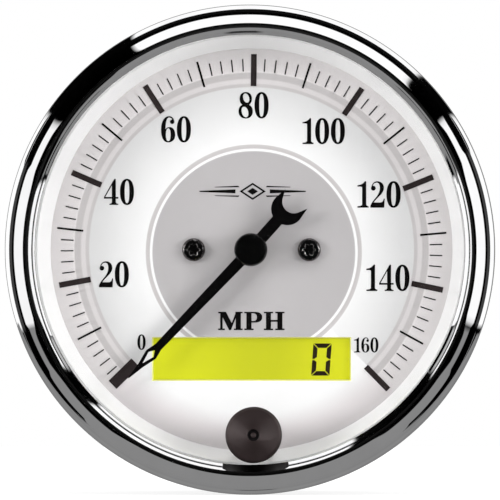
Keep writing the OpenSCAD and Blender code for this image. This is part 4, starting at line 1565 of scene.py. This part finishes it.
@dataclass
class Display:
    """The lit window: one slanted figure and the edge round the opening, whose pale yellow is a painted
    highlight.

    `tip` is an upright segment's end near the middle: strokes inwards, and height.
    """

    panel_y: float = 5.7
    raised: float = 0.03
    digit: Point = (12.2, -19.2)
    half_width: float = 1.6
    half_height: float = 2.81
    stroke: float = 0.78
    gap: float = 0.1
    tip: tuple[Point, ...] = ((0.0, 0.16), (0.35, 0.06), (1.0, 0.42))
    lean: float = 0.075
    window: Point = (34.8, 7.65)
    window_z: float = -19.1
    edge: float = 0.2
    edge_depth: float = 0.15
    dial_y: float = DIAL_Y
    dial_back: float = 5.5

    def segments(self) -> list[Loop]:
        """The six lit segments of a nought, before they lean.

        Returns:
            Each segment's corners about the figure's middle.
        """
        w, h, t, g = self.half_width, self.half_height, self.stroke, self.gap
        top = [(-w + g, h), (w - g, h), (w - g - t, h - t), (-w + g + t, h - t)]
        tip = [(w - t * inwards, up) for inwards, up in self.tip]
        upper = [(w, h - g), *tip, (w - t, h - g - t)]
        loops = [top, [(x, -z) for x, z in top]]
        for across in (-1, 1):
            for up in (-1, 1):
                loops.append([(across * x, up * z) for x, z in upper])
        return loops

    def build(self) -> list[bpy.types.Object]:
        """Make the figure and the window's edge.

        Returns:
            The two objects.
        """
        figure = Print(self.panel_y - self.raised, self.panel_y)
        for loop in self.segments():
            figure.add([[[(self.digit[0] + x + self.lean * z, self.digit[1] + z)
                          for x, z in loop]]])
        digit = figure.finish("display_digit", Paint.DIGIT)
        edge = self._window_edge()
        for piece in (digit, edge):
            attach(piece, "root")
        return [digit, edge]

    def _window_edge(self) -> bpy.types.Object:
        """A thin sloping frame inside the window, painted pale yellow as a highlight on the dial's cut
        edge.

        Returns:
            The object.
        """
        build = bmesh.new()
        half_w, half_h = self.window[0] / 2, self.window[1] / 2
        rings = []
        for inset, depth in ((0.0, self.dial_y + self.edge_depth), (self.edge, self.dial_back),
                             (0.0, self.dial_back)):
            rings.append([
                vertex(build, across * (half_w - inset), depth, self.window_z + up * (half_h - inset))
                for across, up in ((-1, -1), (1, -1), (1, 1), (-1, 1))])
        for first, second in zip(rings, rings[1:] + rings[:1]):
            for i in range(4):
                build.faces.new([first[i], first[(i + 1) % 4], second[(i + 1) % 4], second[i]])
        bmesh.ops.recalc_face_normals(build, faces=build.faces)
        return add_object("window_edge", mesh_from("window_edge", build, crease=20), [Paint.WINDOW_EDGE])


@dataclass
class ResetButton:
    """The button's cap: a shallow cone with a moulding dimple in its middle."""

    centre: Point = BUTTON_AT
    radius: float = 4.9
    top: float = -8.9
    foot: float = -5.5
    roof: float = -7.0
    boss_foot: float = -6.2
    boss_r: float = 2.4
    stem_r: float = 1.5
    stem_roof: float = -8.2
    wall: float = 0.8
    dimple_r: float = 1.05
    dimple_depth: float = 0.42
    dimple_slope: float = 0.12
    pip_r: float = 0.45
    pip_depth: float = 0.2
    pip_slope: float = 0.06
    cone: float = 0.62
    bevel: float = 0.42
    corner: float = 0.06
    steps: int = 160

    def section(self) -> Loop:
        """Section from the dimple's middle round to the stem's hole.

        Returns:
            Points of radius and depth.
        """
        shoulder = self.top + self.cone
        floor = self.top + self.dimple_depth
        crown = softened([
            (0.0, self.top + self.pip_depth), (self.pip_r, self.top + self.pip_depth),
            (self.pip_r + self.pip_slope, floor), (self.dimple_r - self.dimple_slope, floor),
            (self.dimple_r, self.top), (self.radius - self.bevel, shoulder),
            (self.radius, shoulder + self.bevel), (self.radius, self.foot),
            (self.radius - self.wall, self.foot)], self.corner)
        return [*crown, (self.radius - self.wall, self.roof), (self.boss_r, self.roof),
                (self.boss_r, self.boss_foot), (self.stem_r, self.boss_foot),
                (self.stem_r, self.stem_roof), (0.0, self.stem_roof)]

    def finish_of(self, radius: float, depth: float) -> int:
        """1 for the painted shade in the dimple and on the flank, 0 elsewhere.

        Args:
            radius: Radius of a face's middle.
            depth: Depth of its middle.

        Returns:
            The finish's index.
        """
        rim, below, skin = 0.05, 0.1, 0.02
        in_dimple = (self.pip_r < radius < self.dimple_r - rim
                     and self.top + below < depth < self.stem_roof - below)
        on_flank = radius > self.radius - skin
        # The dimple and the flank get a darker finish as painted shade.
        return int(in_dimple or on_flank)

    def build(self) -> bpy.types.Object:
        """Make the cap in place of the CAD node.

        Returns:
            The object.
        """
        made = lathe("button_knob", self.section(), [Paint.BUTTON, Paint.BUTTON_PIT],
                     centres=[self.centre], steps=self.steps, choose=self.finish_of)
        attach(made, "button")
        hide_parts("button_cap")
        return made


@dataclass
class ReturnSpring:
    """The button's spring: one round wire.

    The wire's middle goes from `start` to `end`, and its front is at `free_end`.
    """

    centre: Point = BUTTON_AT
    radius: float = 2.3
    wire: float = 0.36
    turns: int = 5
    start: float = 0.08
    end: float = 4.27
    free_end: float = -0.1
    dial_y: float = DIAL_Y
    travel: float = 0.8
    steps_per_turn: int = 36
    sides: int = 12

    def build(self) -> bpy.types.Object:
        """Make the spring in place of the CAD node.

        Returns:
            The object.
        """
        build = bmesh.new()
        rings = [self._ring(build, step) for step in range(self.turns * self.steps_per_turn + 1)]
        for first, second in zip(rings, rings[1:]):
            for side in range(self.sides):
                after = (side + 1) % self.sides
                build.faces.new([first[side], first[after], second[after], second[side]])
        for cut in (rings[0], rings[-1]):
            build.faces.new(cut)
        bmesh.ops.recalc_face_normals(build, faces=build.faces)
        made = add_object("return_spring", mesh_from("return_spring", build), [Paint.STEEL])
        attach(made, "root")
        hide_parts("button_spring")
        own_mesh(made)
        return made

    def _ring(self, build: bmesh.types.BMesh, step: int) -> list[bmesh.types.BMVert]:
        """The wire's section at one step of its way.

        Args:
            build: The spring's bmesh.
            step: Number of steps from the front end.

        Returns:
            The vertices.
        """
        share = step / (self.turns * self.steps_per_turn)
        turn = 2 * math.pi * self.turns * share
        depth = self.start + (self.end - self.start) * share
        ring = []
        for side in range(self.sides):
            angle = 2 * math.pi * side / self.sides
            reach = self.radius + self.wire / 2 * math.cos(angle)
            ring.append(vertex(build, self.centre[0] + reach * math.cos(turn),
                               depth + self.wire / 2 * math.sin(angle),
                               self.centre[1] + reach * math.sin(turn)))
        return ring


@dataclass
class DialScrews:
    """The two pan head screws with rounded heads and six-lobe sockets.

    Each step of the socket is its radius, its depth in the head and its share of the lobes.
    """

    spacing: float = SCREW_X
    head_r: float = 2.02
    head_y: float = 3.2
    dial_y: float = DIAL_Y
    head_round: float = 0.6
    round_steps: int = 10
    shank_r: float = 0.95
    shank_end: float = 10.2
    shank_tip: float = 0.3
    socket: tuple[Triple, ...] = (
        (0.0, 0.8, 0.0), (0.6, 0.8, 0.8), (0.78, 0.26, 1.0), (0.84, 0.16, 1.0),
        (0.98, 0.06, 0.9), (1.12, 0.0, 0.5))
    lobe: float = 0.17
    lobes: int = 6
    steps: int = 96

    def section(self) -> Loop:
        """From the socket's floor over the head to the shank's end.

        Returns:
            Points of radius and depth.
        """
        dome = arc((self.head_r - self.head_round, self.head_y + self.head_round),
                   self.head_round, 90, 0, self.round_steps)
        return [
            *((radius, self.head_y + depth) for radius, depth, _ in self.socket), *dome,
            (self.head_r, self.dial_y), (self.shank_r, self.dial_y),
            (self.shank_r, self.shank_end - self.shank_tip),
            (self.shank_r - self.shank_tip, self.shank_end), (0.0, self.shank_end)]

    def wave(self, place: int, angle: float) -> float:
        """The socket's lobes, which fade out at its rim.

        Args:
            place: The point's place in the section.
            angle: The angle about the screw.

        Returns:
            What the radius gains.
        """
        if place >= len(self.socket):
            return 0.0
        return self.socket[place][2] * self.lobe * math.cos(self.lobes * angle)

    def build(self) -> bpy.types.Object:
        """Make both screws in place of the CAD node.

        Returns:
            The object.
        """
        made = lathe("dial_screw_pair", self.section(), [Paint.BLACK_STEEL],
                     centres=[(-self.spacing, 0.0), (self.spacing, 0.0)], steps=self.steps,
                     wave=self.wave)
        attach(made, "root")
        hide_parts("dial_screws")
        return made


@dataclass
class ThreadedStuds:
    """The two studs with their screw threads, made by a node tree.

    `spacing` is how far each stud is from the axis. The thread's cut grows from 0 at its crest
    to `depth` at its root, and `steep` and `crest` leave a narrow flat at both.
    """

    radius: float = 2.5
    spacing: float = 28.0
    head_y: float = 42.6
    start: float = 44.4
    end: float = 68.3
    pitch: float = 0.8
    depth: float = 0.42
    steep: float = 1.25
    crest: float = 0.125
    tip: float = 0.6
    plain_end: float = 46.4
    head_r: float = 4.0
    head_sides: int = 6
    sides: int = 40
    steps_per_turn: int = 6

    def build(self) -> bpy.types.Object:
        """Grow the studs in place of the CAD node.

        Returns:
            The object.
        """
        made = grow("threaded_studs", Paint.ZINC, self._draw, {
            "Radius": self.radius * MM, "Spacing": self.spacing * MM, "Head": self.head_y * MM,
            "Start": self.start * MM, "End": self.end * MM, "Pitch": self.pitch * MM,
            "Depth": self.depth * MM, "Tip": self.tip * MM, "Plain End": self.plain_end * MM,
            "Head Radius": self.head_r * MM, "Sides": self.sides,
            "Rings": round((self.end - self.start) / self.pitch * self.steps_per_turn)})
        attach(made, "root")
        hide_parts("studs")
        return made

    def _draw(self, net: Net, given: Given) -> Value:
        """A head and a threaded shaft, laid along the axis and copied to two places.

        Args:
            net: The tree's net.
            given: Gives the tree's inputs.

        Returns:
            The geometry.
        """
        length = given("End") - given("Start")
        shaft = net.node("GeometryNodeMeshCylinder", {"fill_type": "NGON"}, {
            "Vertices": given("Sides"), "Side Segments": given("Rings"),
            "Radius": given("Radius"), "Depth": length})
        threads = net.node("GeometryNodeSetPosition", inputs={
            "Geometry": shaft, "Position": self._thread(net, given, length)})
        lifted = net.node("GeometryNodeTransform", inputs={
            "Geometry": threads,
            "Translation": net.vector(z=(given("Start") + given("End")) * 0.5)})
        head_height = given("Start") - given("Head")
        hexagon = net.node("GeometryNodeMeshCylinder", {"fill_type": "NGON"}, {
            "Vertices": self.head_sides, "Radius": given("Head Radius"), "Depth": head_height})
        head = net.node("GeometryNodeTransform", inputs={
            "Geometry": hexagon, "Translation": net.vector(z=given("Head") + head_height * 0.5)})
        stud = net.node("GeometryNodeJoinGeometry", inputs={0: head})
        net.tree.links.new(lifted.socket, stud.socket.node.inputs[0])
        laid = net.node("GeometryNodeTransform", inputs={
            "Geometry": stud, "Rotation": (-math.pi / 2, 0.0, 0.0)})
        return net.row(laid, 2, -given("Spacing"), given("Spacing") * 2.0)

    def _thread(self, net: Net, given: Given, length: Value) -> Value:
        """Where the helix, the plain end and the tip move each point of the shaft.

        Args:
            net: The tree's net.
            given: Gives the tree's inputs.
            length: The shaft's length.

        Returns:
            The new position.
        """
        x, y, along = net.parts(net.node("GeometryNodeInputPosition"))
        depth_here = along + length * 0.5 + given("Start")
        turn = y.angle_over(x) * (1 / (2 * math.pi))
        phase = (depth_here / given("Pitch") + turn).fraction()
        flank = abs(phase - 0.5) * 2.0
        cut = (flank * self.steep - self.crest).lesser(1.0).greater(0.0) * given("Depth")
        threaded = ((depth_here - given("Plain End")) / given("Pitch")).lesser(1.0).greater(0.0)
        body = given("Radius") - cut * threaded
        taper = given("Radius") - given("Tip") + (given("End") - depth_here)
        share = body.lesser(taper) / off_axis(x, y)
        return net.vector(x * share, y * share, along)


@dataclass
class Winding:
    """One crossed coil of the movement as real turns of wire, made by a node tree.

    The loops lie across `width` and along the axis. `turned` puts them in the upright plane.
    A turn's radius is `filling` of the wire's width, so that its neighbours clear it.
    """

    name: str
    node: str
    width: float
    front: float
    back: float
    turned: bool
    spacing: float = 5.2
    band: float = 4.0
    wire: float = 0.4
    filling: float = 0.49
    sides: int = 6
    layers: int = 4
    corner: float = 0.3
    corner_steps: int = 4

    def build(self) -> bpy.types.Object:
        """Grow the coil in place of the CAD node.

        Returns:
            The object.
        """
        made = grow(self.name, Paint.STRANDS, self._draw, {
            "Width": self.width * MM, "Depth": (self.back - self.front) * MM,
            "Middle": (self.front + self.back) / 2 * MM, "Spacing": self.spacing * MM,
            "Wire": self.wire * MM, "Corner": self.corner * MM,
            "Turns": round(self.band / self.wire),
            "Turned": math.pi / 2 if self.turned else 0.0})
        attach(made, "root")
        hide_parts(self.node)
        return made

    def _draw(self, net: Net, given: Given) -> Value:
        """Rounded loops in layers, copied side by side and on both sides of the spindle.

        Args:
            net: The tree's net.
            given: Gives the tree's inputs.

        Returns:
            The geometry.
        """
        profile = net.node("GeometryNodeCurvePrimitiveCircle", {"mode": "RADIUS"}, {
            "Resolution": self.sides, "Radius": given("Wire") * self.filling})
        layers = net.node("GeometryNodeJoinGeometry")
        for layer in range(self.layers):
            shrink = given("Wire") * (2 * layer + 1)
            loop = net.node("GeometryNodeCurvePrimitiveQuadrilateral", inputs={
                "Width": given("Width") - shrink, "Height": given("Depth") - shrink})
            bend = given("Corner") + given("Wire") * (self.layers - layer - 0.5)
            rounded = net.node("GeometryNodeFilletCurve", {"mode": "POLY"}, {
                "Curve": loop, "Count": self.corner_steps, "Radius": bend})
            strand = net.node("GeometryNodeCurveToMesh", inputs={
                "Curve": rounded, "Profile Curve": profile})
            net.tree.links.new(strand.socket, layers.socket.node.inputs[0])
        half_band = given("Wire") * (given("Turns") - 1.0) * 0.5
        band = net.row(layers, given("Turns"), -half_band, given("Wire"))
        both = net.row(band, 2, -given("Spacing"), given("Spacing") * 2.0)
        return net.node("GeometryNodeTransform", inputs={
            "Geometry": both, "Translation": net.vector(y=given("Middle")),
            "Rotation": net.vector(y=given("Turned"))})


class Dresser:
    """Gives every CAD node that stays in sight its finish."""

    def dress(self) -> int:
        """Assign each node's material by its slot in the record.

        Returns:
            How many nodes were dressed.
        """
        slots = {entry["node"]: entry["material_slot"] for entry in frame["record"]["subparts"]}
        for name, node in frame["nodes"].items():
            node.data.materials.clear()
            node.data.materials.append(SLOT_PAINT[slots[name]].value.material())
        return len(slots)


class Rays(Enum):
    """What a stage piece may be seen by."""

    CAMERA = "visible_camera"
    DIFFUSE = "visible_diffuse"
    GLOSSY = "visible_glossy"
    TRANSMISSION = "visible_transmission"
    VOLUME = "visible_volume_scatter"
    SHADOW = "visible_shadow"

    @staticmethod
    def only(made: bpy.types.Object, *kept: "Rays") -> None:
        """Let only some rays see an object."""
        for ray in Rays:
            setattr(made, ray.value, ray in kept)


@dataclass(frozen=True)
class Lamp:
    """A square soft lamp that looks at the speedometer's origin.

    Azimuth is in degrees to the right of the front, and elevation above the axis.
    """

    name: str
    azimuth: float
    elevation: float
    watts: float
    distance: float = 620.0
    size: float = 260.0


def sector_stops(sectors: Sectors, blur: float = 0.8,
                 tone: Callable[[float], Colour] = grey) -> list[Stop]:
    """Ramp stops for sectors round the axis.

    Args:
        sectors: Each sector's start and end in degrees, in order, and its level. The first
            may start below 0, and the last then ends where the first starts.
        blur: Degrees over which neighbours blend.
        tone: Turns a level into a colour.

    Returns:
        Places from 0 to 1 with grey colours.
    """
    full_turn = 360
    stops = [(0.0, tone(sectors[0][2]))]
    for (_, end, level), (_, _, after) in zip(sectors, sectors[1:]):
        stops.append(((end - blur / 2) / full_turn, tone(level)))
        stops.append(((end + blur / 2) / full_turn, tone(after)))
    if sectors[0][0] < 0:
        wrap = full_turn + sectors[0][0]
        stops.append(((wrap - blur / 2) / full_turn, tone(sectors[-1][2])))
        stops.append(((wrap + blur / 2) / full_turn, tone(sectors[0][2])))
    return stops


def limit_light(light: bpy.types.Object, pieces: Sequence[bpy.types.Object], state: str) -> None:
    """Let a light reach only some pieces, or every piece but those.

    Args:
        light: A lamp or a glowing card.
        pieces: The pieces that state is about.
        state: EXCLUDE to spare the pieces, INCLUDE to light nothing else.
    """
    group = bpy.data.collections.new(light.name + "_reach")
    for piece in pieces:
        group.objects.link(piece)
    for member in group.collection_objects:
        member.light_linking.link_state = state
    light.light_linking.receiver_collection = group


@dataclass(frozen=True)
class Surroundings:
    """What gloss sees by direction: dark in front, bright strips at the sides, grey below.

    A direction is told by how far it faces the front, from -1 to 1, and by its angle about the
    axis. Each sector is its two ends in degrees and its screen level. `strips` shows from the
    sides and `dark` from nearer the front, past `dark_from`, or earlier by `wide_gain` where
    `wide` is white. `lip` is the narrow band of directions that the bezel's inner lip mirrors.
    The button shows dark in it, `knob_half` to each side and lower than `knob_below`. Each of
    the floor's two limits is a start and what it gains with the facing.
    """

    strips: Sectors = (
        (-19, 34, 255), (34, 47.5, 2), (47.5, 120, 252), (120, 147.5, 2), (147.5, 199, 255),
        (199, 341, 3))
    dark: Sectors = (
        (-19, 25, 62), (25, 47.5, 2), (47.5, 120, 14), (120, 160, 2), (160, 199, 62),
        (199, 341, 2))
    wide: Sectors = (
        (-19, 25, 0), (25, 34, 255), (34, 147.5, 0), (147.5, 160, 255), (160, 341, 0))
    dark_from: Edge = (0.156, 0.02)
    wide_gain: float = 0.27
    lip: Point = (0.12, 0.21)
    lip_blur: float = 0.01
    lip_level: int = 180
    knob_half: float = 0.075
    knob_blur: float = 0.04
    knob_below: Edge = (0.5, 0.1)
    knob_share: float = 0.9
    knob_level: int = 22
    floor_turn: float = 1.9
    floor_outer: Point = (0.409, 0.366)
    floor_inner: Point = (1.3525, -1.313)
    floor_blur: float = 0.02
    floor_spread: float = 0.3256
    spread_blur: float = 0.01
    floor_levels: tuple[tuple[float, int], ...] = ((0.0, 120), (0.4, 134), (0.62, 127), (1.0, 136))
    front: Edge = (0.965, 0.03)
    front_level: int = 6
    back: Edge = (0.8, 0.12)
    back_level: int = 118

    def draw(self, net: Net) -> Value:
        """Give each direction its colour.

        Args:
            net: The world's net.

        Returns:
            The colour.
        """
        x, y, z = net.parts(net.node("ShaderNodeTexCoord", output="Generated"))
        facing = -y
        sector = sector_of(x, z)
        strips, dark, wide = (net.ramp(sector, sector_stops(sectors))
                              for sectors in (self.strips, self.dark, self.wide))
        lip_seen = ((facing - self.lip[0]).past(0.0, self.lip_blur)
                    * (self.lip[1] - facing).past(0.0, self.lip_blur))
        in_front = (facing + wide * self.wide_gain).past(*self.dark_from)
        whole = net.blend(in_front, strips, dark)
        whole = net.blend(lip_seen * wide, whole, grey(self.lip_level))
        on_floor = self._floor_seen(x, z, facing, lip_seen)
        floor_level = net.ramp((facing + 1.0) * 0.5, [
            (place, grey(level)) for place, level in self.floor_levels])
        whole = net.blend(on_floor, whole, floor_level)
        knob = (lip_seen * (self.knob_half - abs(x)).past(0.0, self.knob_blur)
                * (-z).past(*self.knob_below))
        whole = net.blend(knob * self.knob_share, whole, grey(self.knob_level))
        whole = net.blend(facing.past(*self.front), whole, grey(self.front_level))
        return net.blend(y.past(*self.back), whole, grey(self.back_level))

    def _floor_seen(self, x: Value, z: Value, facing: Value, lip_seen: Value) -> Value:
        """1 where a direction ends on the floor, which lies a little turned about the axis.

        Args:
            x: The direction's share to the right.
            z: Its share upwards.
            facing: Its share to the front.
            lip_seen: 1 in the lip's band, where all that is low enough is floor.

        Returns:
            The share of the floor.
        """
        turn = math.radians(self.floor_turn)
        down = -(x * math.sin(turn) + z * math.cos(turn))
        outer_limit = facing * self.floor_outer[1] + self.floor_outer[0]
        inner_limit = facing * self.floor_inner[1] + self.floor_inner[0]
        below = (down - outer_limit.lesser(inner_limit)).past(0.0, self.floor_blur)
        spread = (down - off_axis(x, z) * self.floor_spread).past(0.0, self.spread_blur)
        return below.greater(lip_seen) * spread


@dataclass(frozen=True)
class RimCard:
    """A card in front that only the bezel mirrors, with white, black and grey sectors.

    Each sector is its two ends in degrees, and its screen level or the radius at which the
    light on the card starts or ends there. Blurs between sectors are in degrees, and
    those of the light's start and end are shares of the radius.
    """

    depth: float = -23.8
    radius: float = 60.0
    segments: int = 180
    levels: Sectors = (
        (-18.5, 34, 250), (34, 47.5, 0), (47.5, 120, 254), (120, 147.5, 0), (147.5, 199, 246),
        (199, 340, 131), (340, 341.5, 0))
    inner: Sectors = (
        (-19, 20, 20.5), (20, 34, 31.0), (34, 47.5, 20.5), (47.5, 120, 18.3), (120, 147.5, 20.5),
        (147.5, 163, 28.0), (163, 199, 20.5), (199, 212, 33.8), (212, 235, 27.0),
        (235, 303, 15.2), (303, 328, 27.0), (328, 341, 33.8))
    outer: Sectors = (
        (-19, 25, 50.1), (25, 34, 45.0), (34, 47.5, 47.3), (47.5, 120, 47.3), (120, 147.5, 47.3),
        (147.5, 160, 45.0), (160, 199, 50.1), (199, 212, 45.0), (212, 226, 51.0),
        (226, 311, 60.0), (311, 328, 51.0), (328, 341, 45.0))
    inner_blur: float = 5.0
    outer_blur: float = 1.0
    start_blur: float = 0.03
    end_blur: float = 0.02

    def build(self, bezel: bpy.types.Object) -> None:
        """Make the card and show it to the bezel alone.

        Args:
            bezel: The bezel's object.
        """
        build = bmesh.new()
        bmesh.ops.create_circle(build, cap_ends=True, segments=self.segments,
                                radius=self.radius * MM)
        for corner in build.verts:
            x, y, _ = corner.co
            corner.co = (x, self.depth * MM, y)
        mesh = bpy.data.meshes.new("rim_card")
        build.to_mesh(mesh)
        build.free()
        mesh.materials.append(self._glow())
        card = into_scene("rim_card", mesh)
        Rays.only(card, Rays.GLOSSY)
        limit_light(card, [bezel], "INCLUDE")

    def _glow(self) -> bpy.types.Material:
        """The card's light, by sector and radius.

        Returns:
            The material.
        """
        made, net = new_material("rim_card")
        x, _, z = net.place()
        sector = sector_of(x, z)
        lit = net.ramp(sector, sector_stops(self.levels))
        inner = net.ramp(sector, sector_stops(self.inner, self.inner_blur, self._share))
        outer = net.ramp(sector, sector_stops(self.outer, self.outer_blur, self._share))
        share = off_axis(x, z) / self.radius
        shown = ((share - inner).past(0.0, self.start_blur)
                 * (outer - share).past(0.0, self.end_blur))
        glow = net.node("ShaderNodeEmission", inputs={
            "Color": net.tint(lit, shown), "Strength": MIRROR_STRENGTH})
        net.node("ShaderNodeOutputMaterial", inputs={"Surface": glow})
        return made

    def _share(self, length: float) -> Colour:
        """A radius on the card as a grey."""
        return (length / self.radius,) * 3


@dataclass
class Studio:
    """Camera, pale floor, soft lamps and what the chrome mirrors.

    The camera is to the right of the front by `azimuth`, and sees `photo_width` at the origin.
    Its lens and clipping distances are in Blender's units. The floor's glow is what makes it
    white for the camera, by the share `floor_white`.
    """

    azimuth: float = 1.62
    distance: float = 2500.0
    photo_width: float = 87.25
    aim: Point = (-0.135, -0.05)
    sensor: float = 36.0
    clip: Point = (0.05, 20.0)
    fill: float = 0.81
    floor_z: float = -42.75
    floor_half: float = 600.0
    floor_level: int = 225
    floor_glow: float = 1.3
    floor_white: float = 0.62
    lamps: tuple[Lamp, ...] = (
        Lamp("key_right", 58.0, 9.0, 4.8), Lamp("key_left", -58.0, 9.0, 4.4),
        Lamp("top_soft", 12.0, 62.0, 2.1))
    rear_lamp: Lamp = Lamp("rear_soft", 165.0, 35.0, 2.3, 900.0, 700.0)
    plate_lamp: Lamp = Lamp("plate_soft", 0.0, 32.0, 3.5, 900.0, 1500.0)
    plated: tuple[str, ...] = ("bracket", "nut_upper", "nut_lower", "washers")

    def build(self, bezel: bpy.types.Object, studs: bpy.types.Object) -> None:
        """Set the whole studio up round the speedometer.

        Args:
            bezel: The bezel's object.
            studs: The studs' object.
        """
        self._camera()
        self._world()
        self._floor()
        plated = [studs, *(frame["nodes"][name] for name in self.plated)]
        for lamp in self.lamps:
            self._lamp(lamp, [bezel, *plated], "EXCLUDE")
        self._lamp(self.rear_lamp, [bezel], "EXCLUDE")
        self._lamp(self.plate_lamp, plated, "INCLUDE")
        RimCard().build(bezel)

    def _camera(self) -> None:
        """A long lens nearly square on, as in the photograph."""
        data = bpy.data.cameras.new("camera")
        camera = into_scene("camera", data)
        data.sensor_width = self.sensor
        data.lens = data.sensor_width * self.distance / self.photo_width
        data.clip_start, data.clip_end = self.clip
        turn = math.radians(self.azimuth)
        right = Vector((math.cos(turn), math.sin(turn), 0.0))
        back = Vector((math.sin(turn), -math.cos(turn), 0.0))
        target = right * self.aim[0] + Vector((0, 0, self.aim[1]))
        camera.location = (target + back * self.distance) * MM
        camera.rotation_euler = (math.pi / 2, 0.0, turn)
        bpy.context.scene.camera = camera
        bpy.context.scene.view_settings.view_transform = "Standard"

    def _world(self) -> None:
        """White for the camera, even soft light, and bright and dark zones for gloss."""
        world = bpy.data.worlds.new("studio")
        bpy.context.scene.world = world
        world.use_nodes = True
        net = Net(world.node_tree)
        path = net.node("ShaderNodeLightPath")
        soft = net.node("ShaderNodeBackground", inputs={
            "Color": PURE_WHITE, "Strength": self.fill})
        white = net.node("ShaderNodeBackground", inputs={"Color": PURE_WHITE})
        gloss = net.node("ShaderNodeBackground", inputs={
            "Color": Surroundings().draw(net), "Strength": MIRROR_STRENGTH})
        lit = net.mix(path.output("Is Transmission Ray"), soft, white)
        lit = net.mix(path.output("Is Glossy Ray"), lit, gloss)
        lit = net.mix(path.output("Is Camera Ray"), lit, white)
        net.node("ShaderNodeOutputWorld", inputs={"Surface": lit})

    def _floor(self) -> None:
        """A pale floor just under the bezel, seen only from above."""
        half, level = self.floor_half * MM, self.floor_z * MM
        mesh = bpy.data.meshes.new("floor")
        mesh.from_pydata([(-half, -half, level), (half, -half, level),
                          (half, half, level), (-half, half, level)], [], [(0, 1, 2, 3)])
        material, net = new_material("floor_pale")
        path = net.node("ShaderNodeLightPath")
        paint = net.node("ShaderNodeBsdfDiffuse", inputs={"Color": grey(self.floor_level)})
        glow = net.node("ShaderNodeEmission", inputs={
            "Color": PURE_WHITE, "Strength": self.floor_glow})
        lit = net.mix(path.output("Is Camera Ray") * self.floor_white, paint, glow)
        under = net.node("ShaderNodeNewGeometry").output("Backfacing")
        clear = net.node("ShaderNodeBsdfTransparent")
        surface = net.mix(under, lit, clear)
        net.node("ShaderNodeOutputMaterial", inputs={"Surface": surface})
        mesh.materials.append(material)
        floor = into_scene("floor", mesh)
        Rays.only(floor, Rays.CAMERA, Rays.DIFFUSE, Rays.SHADOW, Rays.TRANSMISSION)

    def _lamp(self, lamp: Lamp, pieces: Sequence[bpy.types.Object], state: str) -> None:
        """Make a lamp.

        Args:
            lamp: Its place, size and power.
            pieces: The pieces that state is about.
            state: EXCLUDE to spare the pieces, INCLUDE to light nothing else.
        """
        data = bpy.data.lights.new(lamp.name, "AREA")
        data.shape = "SQUARE"
        data.size = lamp.size * MM
        data.energy = lamp.watts
        made = into_scene(lamp.name, data)
        turn, rise = math.radians(lamp.azimuth), math.radians(lamp.elevation)
        way = Vector((math.sin(turn) * math.cos(rise), -math.cos(turn) * math.cos(rise),
                      math.sin(rise)))
        made.location = way * lamp.distance * MM
        made.rotation_euler = way.to_track_quat("Z", "Y").to_euler()
        Rays.only(made, Rays.DIFFUSE, Rays.GLOSSY, Rays.TRANSMISSION, Rays.SHADOW)
        limit_light(made, pieces, state)


def main() -> None:
    """Build the speedometer's looks in order and report each piece."""
    logging.basicConfig(level=logging.INFO, format="%(message)s")
    LOG.info("dressed %d nodes", Dresser().dress())
    bezel = Bezel().build()
    pieces = [bezel, *DialPrint().build(), *Display().build(), ResetButton().build(),
              ReturnSpring().build(), DialScrews().build()]
    studs = ThreadedStuds().build()
    inner = Winding("inner_turns", "inner_winding", width=19.2, front=16.2, back=31.6, turned=False)
    outer = Winding("outer_turns", "outer_winding", width=19.2, front=14.6, back=33.2, turned=True)
    pieces += [studs, inner.build(), outer.build()]
    for piece in pieces:
        LOG.info("%s: %d faces", piece.name, len(piece.data.polygons))
    Studio().build(bezel, studs)


if __name__ == "__main__":
    main()
